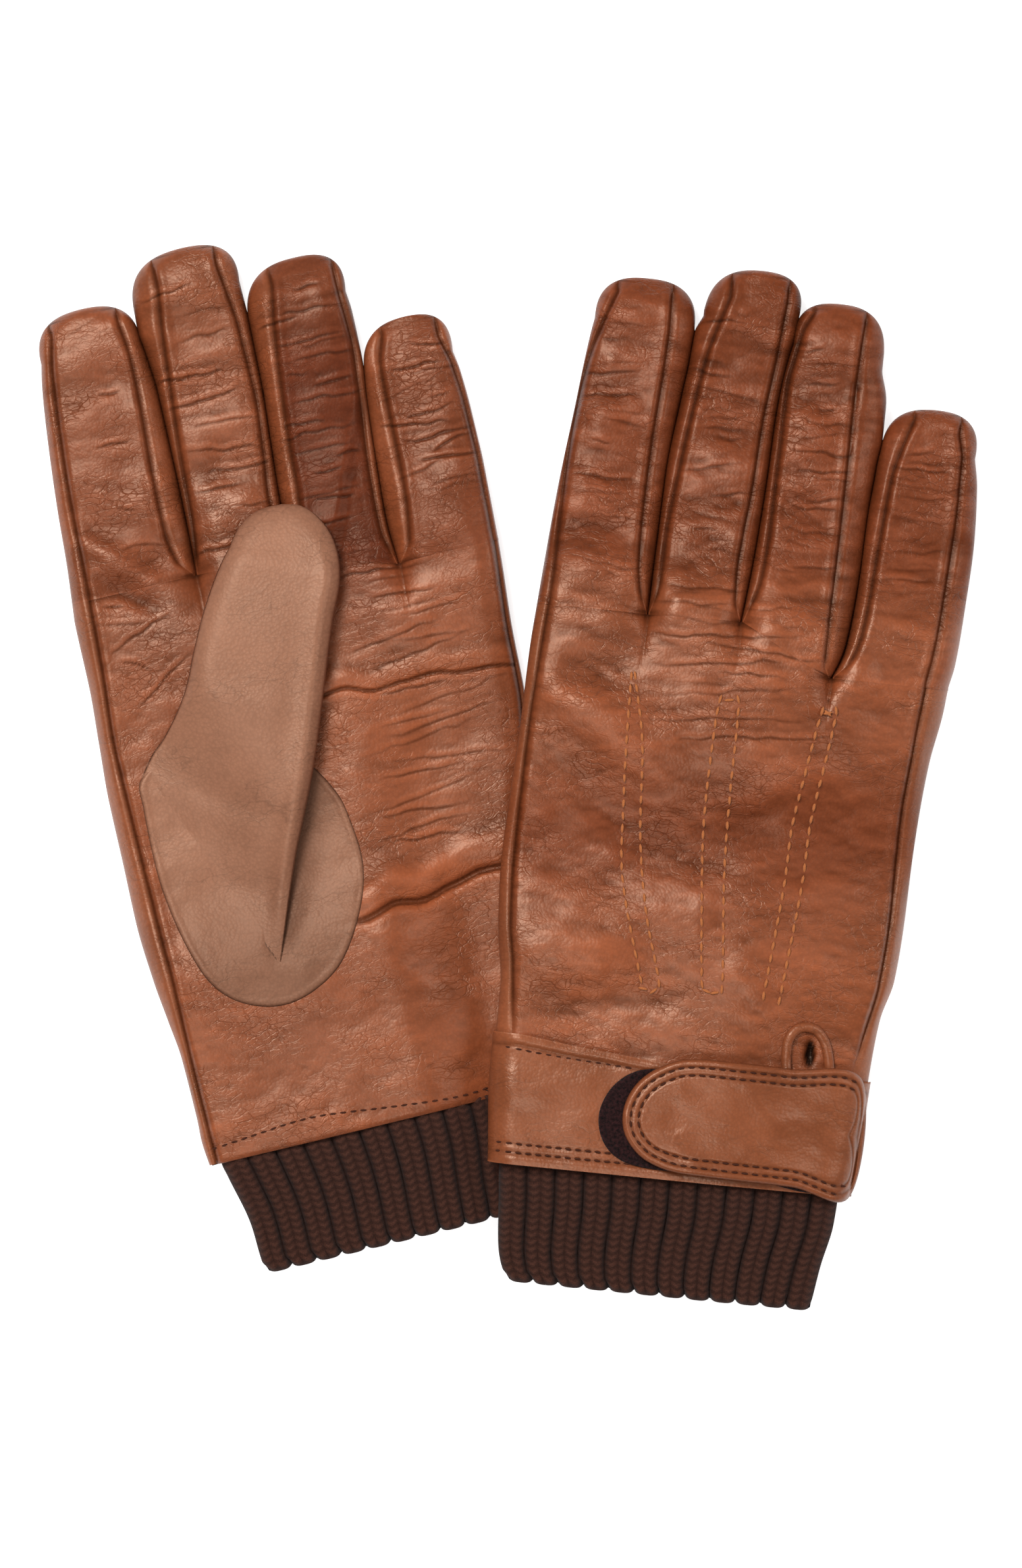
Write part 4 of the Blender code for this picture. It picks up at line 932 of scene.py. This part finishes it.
def beside_thumb(u, v):
    """1 beside the thumb's folded edge, fading away from it across the oval: where the palm sinks and the
    painted shadow lies.
    """
    ax, ay, bx, by = -17.3, 47.3, 6.0, 102.0
    length = math.hypot(bx - ax, by - ay)
    dx, dy = (bx - ax) / length, (by - ay) / length
    s, d = (u - ax) * dx + (v - ay) * dy, (u - ax) * dy - (v - ay) * dx
    reach = 2.5 + 0.16 * np.clip(s, 0, 60)
    return gauss(np.clip(d + 1.0, 0, 99), reach) * smooth(s, -1.0, 12.0) * smooth(d, -6.0, -2.0)


def gusset(hand, side):
    """The oval leather under the thumb, set into the palm with a turned seam."""
    def shade(u, v):
        # painted shadow of the thumb's fold, darkest beside its edge
        return thumb_tone(u, v) * (1.0 - 0.45 * beside_thumb(u, v))

    spine, level = ((-16.0, -16.0), (60.0, 90.0)), lifted(hand, side, 0.0)
    return patch(hand, "thumb_oval", OVAL, spine, level, side, 0.55, 0.9, "thumb", (), shade, rim_shade=0.62)


# ---------- materials ----------
def node_tree(name):
    """A new material with one principled shader."""
    made = bpy.data.materials.new(name)
    made.use_nodes = True
    tree = made.node_tree
    tree.nodes.clear()
    out = tree.nodes.new("ShaderNodeOutputMaterial")
    shader = tree.nodes.new("ShaderNodeBsdfPrincipled")
    tree.links.new(shader.outputs[0], out.inputs[0])
    return made, tree, shader


def add(tree, kind, **values):
    node = tree.nodes.new(kind)
    for key, value in values.items():
        if hasattr(node, key):
            setattr(node, key, value)
        else:
            node.inputs[key.replace("_", " ")].default_value = value
    return node


def stretch(tree, source, scale, warp=None, amount=0.0):
    """The rest coordinates scaled along u and v, with an optional wander."""
    link = tree.links.new
    place_it = add(tree, "ShaderNodeVectorMath", operation="MULTIPLY")
    place_it.inputs[1].default_value = (scale[0], scale[1], 1.0)
    link(source, place_it.inputs[0])
    if warp is None:
        return place_it.outputs[0]
    push = add(tree, "ShaderNodeVectorMath", operation="MULTIPLY_ADD")
    push.inputs[1].default_value = (amount, amount, 0.0)
    link(warp, push.inputs[0])
    link(place_it.outputs[0], push.inputs[2])
    return push.outputs[0]


def ramp(tree, source, a, b, c, d):
    """Map a..b to c..d."""
    node = add(tree, "ShaderNodeMapRange")
    for k, value in enumerate((a, b, c, d)):
        node.inputs[k + 1].default_value = value
    tree.links.new(source, node.inputs[0])
    return node.outputs[0]


def maths(tree, kind, a, b, c=None):
    """A math node on sockets or plain numbers."""
    node = add(tree, "ShaderNodeMath", operation=kind)
    for k, value in enumerate((a, b, c)):
        if value is None:
            continue
        if isinstance(value, float):
            node.inputs[k].default_value = value
        else:
            tree.links.new(value, node.inputs[k])
    return node.outputs[0]


def texture(tree, kind, source, **values):
    """A texture node looking up the given coordinates."""
    node = add(tree, kind, **values)
    tree.links.new(source, node.inputs["Vector"])
    return node.outputs


def surface(tree, shader, colour, shade, dye_and_crease_shade):
    """Base colour: the leather's or thread's own colour times the mesh's shade (which holds painted shade)
    times the dye, which for leather also holds painted shade in its wrinkle lines.
    """
    base = add(tree, "ShaderNodeMix", data_type="RGBA", blend_type="MULTIPLY")
    tinted = add(tree, "ShaderNodeMix", data_type="RGBA", blend_type="MULTIPLY")
    base.inputs[0].default_value = tinted.inputs[0].default_value = 1.0
    base.inputs[6].default_value = (*colour, 1.0)
    tree.links.new(shade, base.inputs[7])
    tree.links.new(base.outputs[2], tinted.inputs[6])
    tree.links.new(dye_and_crease_shade, tinted.inputs[7])
    tree.links.new(tinted.outputs[2], shader.inputs["Base Color"])


def emboss(tree, shader, height, strength, distance):
    """Bump from a height."""
    dent = add(tree, "ShaderNodeBump", Strength=strength, Distance=distance)
    tree.links.new(height, dent.inputs["Height"])
    tree.links.new(dent.outputs[0], shader.inputs["Normal"])


def painted(tree):
    """The mesh's own coordinates and shade."""
    rest = add(tree, "ShaderNodeAttribute", attribute_name="rest").outputs["Vector"]
    return rest, add(tree, "ShaderNodeAttribute", attribute_name="shade").outputs["Color"]


def leather(name, colour, grain=1.0, rough=0.40, wrinkle=1.0, mottle=0.14, scale=1.25):
    """Glossy dressed leather: pebble grain, a net of fine wrinkles with painted shade in them, uneven dye and
    sheen.
    """
    made, tree, shader = node_tree(name)
    rest, shade = painted(tree)
    wander = texture(tree, "ShaderNodeTexNoise", rest, Scale=0.16, Detail=3.0)["Color"]
    pebble = texture(tree, "ShaderNodeTexVoronoi", rest, Scale=scale)["Distance"]
    cells = {"feature": "DISTANCE_TO_EDGE", "Scale": 1.0}
    lines = texture(tree, "ShaderNodeTexVoronoi", stretch(tree, rest, (0.17, 0.40), wander, 1.6), **cells)
    tiny = texture(tree, "ShaderNodeTexVoronoi", stretch(tree, rest, (0.42, 0.75), wander, 2.5), **cells)
    broad = texture(tree, "ShaderNodeTexNoise", rest, Scale=0.05, Detail=5.0)["Fac"]
    taller = stretch(tree, rest, (1.0, 1.7))
    patchy = texture(tree, "ShaderNodeTexNoise", taller, Scale=0.045, Detail=2.0)["Fac"]
    where = ramp(tree, patchy, 0.42, 0.62, 0.0, 1.0)
    deep = ramp(tree, lines["Distance"], 0.0, 0.055, 1.0, 0.0)
    thin = ramp(tree, tiny["Distance"], 0.0, 0.07, 0.6, 0.0)
    net = maths(tree, "MULTIPLY", maths(tree, "ADD", deep, thin), where)
    level = ramp(tree, broad, 0.3, 0.7, 1.0 - mottle, 1.0 + mottle)
    pores = ramp(tree, pebble, 0.15, 0.75, 1.05, 0.90)
    # colour multiplier: uneven dye and grain, with painted shade in the wrinkle lines
    dye_and_crease_shade = maths(tree, "MULTIPLY", maths(tree, "MULTIPLY", level, pores), ramp(tree, net, 0.0, 1.0, 1.0, 0.80))
    surface(tree, shader, colour, shade, dye_and_crease_shade)
    height = maths(tree, "MULTIPLY", pebble, -0.55 * grain)
    emboss(tree, shader, maths(tree, "MULTIPLY_ADD", net, -1.1 * wrinkle, height), 0.5, 0.00018)
    tree.links.new(ramp(tree, broad, 0.3, 0.7, rough - 0.05, rough + 0.06), shader.inputs["Roughness"])
    plain = add(tree, "ShaderNodeRGBToBW")
    tree.links.new(shade, plain.inputs[0])
    tree.links.new(ramp(tree, plain.outputs[0], 0.5, 1.0, 0.22, 0.64), shader.inputs["Specular IOR Level"])
    shader.inputs["Specular Tint"].default_value = (1.0, 0.70, 0.52, 1.0)
    return made


def fibre(name, colour, scale=6.0, bump=0.5, sheen=0.05, deep=0.0003, spread=(0.7, 1.35)):
    """Thread, knit and nap: matt, finely uneven, with a little sheen."""
    made, tree, shader = node_tree(name)
    rest, shade = painted(tree)
    fuzz = texture(tree, "ShaderNodeTexNoise", rest, Scale=scale, Detail=4.0)["Fac"]
    surface(tree, shader, colour, shade, ramp(tree, fuzz, 0.3, 0.7, *spread))
    emboss(tree, shader, fuzz, bump, deep)
    values = {"Roughness": 0.95, "Sheen Weight": sheen, "Sheen Roughness": 0.6, "Specular IOR Level": 0.08}
    for key, value in values.items():
        shader.inputs[key].default_value = value
    return made


MATERIALS = {
    "leather": leather("tan_leather", (0.215, 0.052, 0.017)),
    "edge": leather("edge_leather", (0.25, 0.068, 0.025), wrinkle=0.5),
    "thumb": leather("thumb_leather", (0.335, 0.145, 0.082), grain=1.3, wrinkle=0.25, mottle=0.08,
                     rough=0.46),
    "strap": leather("strap_leather", (0.225, 0.060, 0.021), wrinkle=0.2, rough=0.36),
    "knit": fibre("brown_rib_knit", (0.040, 0.0150, 0.0098), scale=3.0, sheen=0.04),
    "loop": fibre("hook_and_loop", (0.018, 0.0052, 0.0052), scale=1.3, bump=1.0, deep=0.0012,
                  spread=(0.2, 2.2)),
    "tan_thread": fibre("seam_thread", (0.40, 0.130, 0.042)),
    "dark_thread": fibre("dark_thread", (0.060, 0.020, 0.012), sheen=0.0),
}


# ---------- assemble ----------
def dress(thing, body, slot, *nodes):
    """Give the piece its body and hide the CAD nodes it stands for; slot is not used."""
    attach(thing, body)
    if nodes:
        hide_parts(*nodes)
    return thing


POINTS = [
    [[(-23.6, 131.3), (-23.2, 114), (-22.2, 96.6), (-20.4, 77.1), (-13.1, 51.8), (-12.2, 49.4)],
     [(-22.6, 131.5), (-19.0, 114), (-16.9, 89.2), (-13.5, 69.7), (-8.2, 51.4), (-9.4, 49.0)]],
    [[(2.8, 127.6), (0.1, 126.1), (-0.7, 99.7), (0.5, 78.7), (3.1, 52.6), (4.6, 50.4)],
     [(2.8, 127.6), (5.3, 127.0), (5.5, 103.8), (6.3, 79.3), (8.5, 52.2), (6.8, 50.2)]],
    [[(29.1, 126.8), (27.4, 126.2), (23.1, 98.5), (22.3, 80.9), (19.7, 50.7)],
     [(29.1, 126.8), (31.3, 126.1), (27.8, 99.0), (27.0, 81.3), (24.0, 49.7)]],
]


def build(hand):
    """Every piece that both gloves have."""
    key = hand["key"]
    top, bottom = ("back", "palm") if hand["back_up"] else ("palm", "back")
    body = key + "hand"
    for part, side, rows in ((top, 1, HAND_ROWS), (bottom, -1, UNDER_ROWS)):
        dress(hand_sheet(hand, part + "_leather", side, rows), body, "tan_leather", key + part + "_panel")
    for part, left in (("index", True), ("little", False)):
        dress(edge_strip(hand, part + "_edge", left), body, "edge_leather", key + part + "_side_strip")
    between = ["fourchette_index_middle", "fourchette_middle_ring", "fourchette_ring_little", None]
    for index, finger in enumerate(hand["fingers"]):
        made = finger_object(hand, index)
        centre = float(along(finger["l"], finger["crease"]) + along(finger["r"], finger["crease"])) / 2.0
        z = float(under(hand, centre, finger["crease"]) + 5.0)
        point(hand, centre, finger["crease"] - 9, z)
        point(hand, centre, finger["crease"] + 9, z)
        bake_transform(made)
        nodes = [key + finger["name"] + "_tip"] + ([key + between[index]] if between[index] else [])
        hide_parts(*nodes)
    for side in (1, -1):
        dress(knit_cuff(hand, side), body, "brown_rib_knit", key + "knit_cuff")
    back = 1 if hand["back_up"] else -1
    closure(hand, back)
    thumb_side(hand, -back)


def closure(hand, side):
    """Band, patches, strap, vent and their stitching on the back of the wrist."""
    key, body = hand["key"], hand["key"] + "hand"
    dress(wrist_band(hand, side), body, "strap_leather", key + "wrist_band")
    on_band = lifted(hand, side, 1.5)
    spine = ((-4.0, 42.0), (15.6, 15.6))
    loop = patch(hand, "loop_face", LOOP_LINE, spine, on_band, side, 0.9, 0.6, "loop", (1.6,))
    dress(loop, body, "hook_and_loop", key + "loop_patch")
    spine = ((2.0, 44.0), (16.0, 16.0))
    level = lifted(hand, side, strap_rise)
    strap = patch(hand, "strap_cover", STRAP_LINE, spine, level, side, 1.55, 1.1, "strap", STRAP_ROWS,
                  skirt=0.0, lined=True)
    rows = [inset_path(STRAP_LINE, spine, depth) for depth in STRAP_ROWS]
    rows = [row[row[:, 0] < 46.0][::3] for row in rows]
    on_strap = lifted(hand, side, lambda u: strap_rise(u) + 1.38)
    sewn = stitches(hand, "strap_stitches", rows, 2.7, 1.9, 0.55, on_strap, side, "dark_thread")
    below = lifted(hand, side, lambda u: strap_rise(u) - 0.35)
    spine = ((0.0, 10.0), (16.0, 16.0))
    hook = patch(hand, "hook_face", HOOK_LINE, spine, below, -side, 0.75, 0.5, "loop", (1.4,), 1.5, skirt=0.1)
    dress(hook, key + "strap", "hook_and_loop", key + "hook_patch")
    u, v = STRAP_ROOT
    z = float(skin(hand, np.array([u]), np.array([v]), side)[0] + side * 3.0)
    for thing in (strap, sewn):
        point(hand, u + 4.0, v, z)
        point(hand, u - 4.0, v, z)
        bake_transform(thing)
    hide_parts(key + "closure_strap")
    vent(hand, side)


def vent(hand, side):
    """The bound ring of the keyhole slit."""
    path, _ = resample(VENT_RING, 0.5)
    way = np.gradient(path, axis=0)
    way /= np.linalg.norm(way, axis=1, keepdims=True)
    normal = np.stack([way[:, 1], -way[:, 0]], -1)
    angle = np.linspace(0, 2 * math.pi, 14, endpoint=False)
    spot = path[:, None] + normal[:, None] * (np.cos(angle) * 1.35)[None, :, None]
    u, v = spot[..., 0], spot[..., 1]
    base = skin(hand, path[:, 0], path[:, 1], side)[:, None]
    z = base + side * (0.55 + np.sin(angle)[None] * 1.0)
    ring = make_grid(hand, "vent_edge", u, v, z, grey(np.ones_like(u)), "strap", closed=True, flip=side < 0)
    dress(ring, hand["key"] + "hand", "strap_leather", hand["key"] + "vent_binding")


def thumb_side(hand, side):
    """The set-in oval and the thumb on the palm."""
    key, body = hand["key"], hand["key"] + "hand"
    dress(gusset(hand, side), body, "thumb_leather", key + "thumb_gusset")
    thumb = thumb_object(hand, side)
    z = float(skin(hand, ROOT[:1], ROOT[1:], side)[0] + side * 2.0)
    a, b = ROOT - OUT * 1.0, ROOT + OUT * 13.0
    point(hand, a[0], a[1], z)
    point(hand, b[0], b[1], z)
    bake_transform(thumb)
    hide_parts(key + "thumb")


def trims():
    """Stitch rows that only one glove shows."""
    points = [line for pair in POINTS for line in pair]
    band = [[(-46, 30.4), (-32.6, 29.2), (-14, 28.2)], [(-46, 2.9), (-20, 2.9), (-4, 2.9)],
            [(-46, 5.2), (-20, 5.2), (-12, 5.2)]]
    hem = [[(-45.5, 4.2), (-33.2, 5.3), (-24, 6.1), (-15, 6.0), (2.5, 4.0), (20.1, 2.4), (30, 2.8),
            (44, 3.5)]]
    # name, paths, pitch, length and width of a stitch, height over the leather, thread
    for hand, name, paths, pitch, length, width, lift, thread in (
            (RIGHT, "points", points, 3.3, 2.6, 0.9, 0.0, "tan_thread"),
            (RIGHT, "band_stitches", band, 2.6, 1.8, 0.5, 1.35, "dark_thread"),
            (LEFT, "hem_stitches", hem, 2.7, 1.8, 0.5, 0.0, "dark_thread")):
        made = stitches(hand, name, paths, pitch, length, width, lifted(hand, 1, lift), 1, thread)
        dress(made, hand["key"] + "hand", "seam_thread" if thread == "tan_thread" else thread)


build(LEFT)
build(RIGHT)
trims()


# ---------- floor, light, camera ----------
FLOOR, FLOOR_DEPTH = 3.0, -0.0006
# name, place, size, watts
LAMPS = (("key", (-0.50, 0.62, 1.5), 0.60, 26.5), ("side", (1.2, 0.2, 0.9), 0.6, 5.0),
         ("low", (-0.14, -0.70, 1.4), 0.6, 6.8))


def studio():
    """White lit floor, three soft lamps and a long lens from above."""
    scene = bpy.context.scene
    scene.view_settings.view_transform = "Standard"
    mesh = bpy.data.meshes.new("floor")
    corners = [(x * FLOOR, y * FLOOR, FLOOR_DEPTH) for x, y in ((-1, -1), (1, -1), (1, 1), (-1, 1))]
    mesh.from_pydata(corners, [], [(0, 1, 2, 3)])
    floor = bpy.data.objects.new("floor", mesh)
    scene.collection.objects.link(floor)
    made, _, shader = node_tree("floor")
    shader.inputs["Base Color"].default_value = (0.6, 0.6, 0.6, 1.0)
    shader.inputs["Roughness"].default_value = 0.9
    shader.inputs["Specular IOR Level"].default_value = 0.0
    shader.inputs["Emission Color"].default_value = (1.0, 1.0, 1.0, 1.0)
    shader.inputs["Emission Strength"].default_value = 0.80
    mesh.materials.append(made)
    world = bpy.data.worlds.new("soft")
    scene.world = world
    world.use_nodes = True
    world.node_tree.nodes["Background"].inputs[0].default_value = (1.0, 1.0, 1.0, 1.0)
    world.node_tree.nodes["Background"].inputs[1].default_value = 0.16
    for name, spot, size, power in LAMPS:
        light = bpy.data.lights.new(name, "AREA")
        light.energy, light.size = power, size
        lamp = bpy.data.objects.new(name, light)
        lamp.location = spot
        lamp.rotation_euler = (-lamp.location).to_track_quat("-Z", "Y").to_euler()
        scene.collection.objects.link(lamp)
    camera = bpy.data.cameras.new("camera")
    camera.lens = 208.0
    camera.sensor_width = 36.0
    camera.clip_end = 20.0
    eye = bpy.data.objects.new("camera", camera)
    eye.location = (0.0002, 0.0, 2.42)
    scene.collection.objects.link(eye)
    scene.camera = eye


studio()
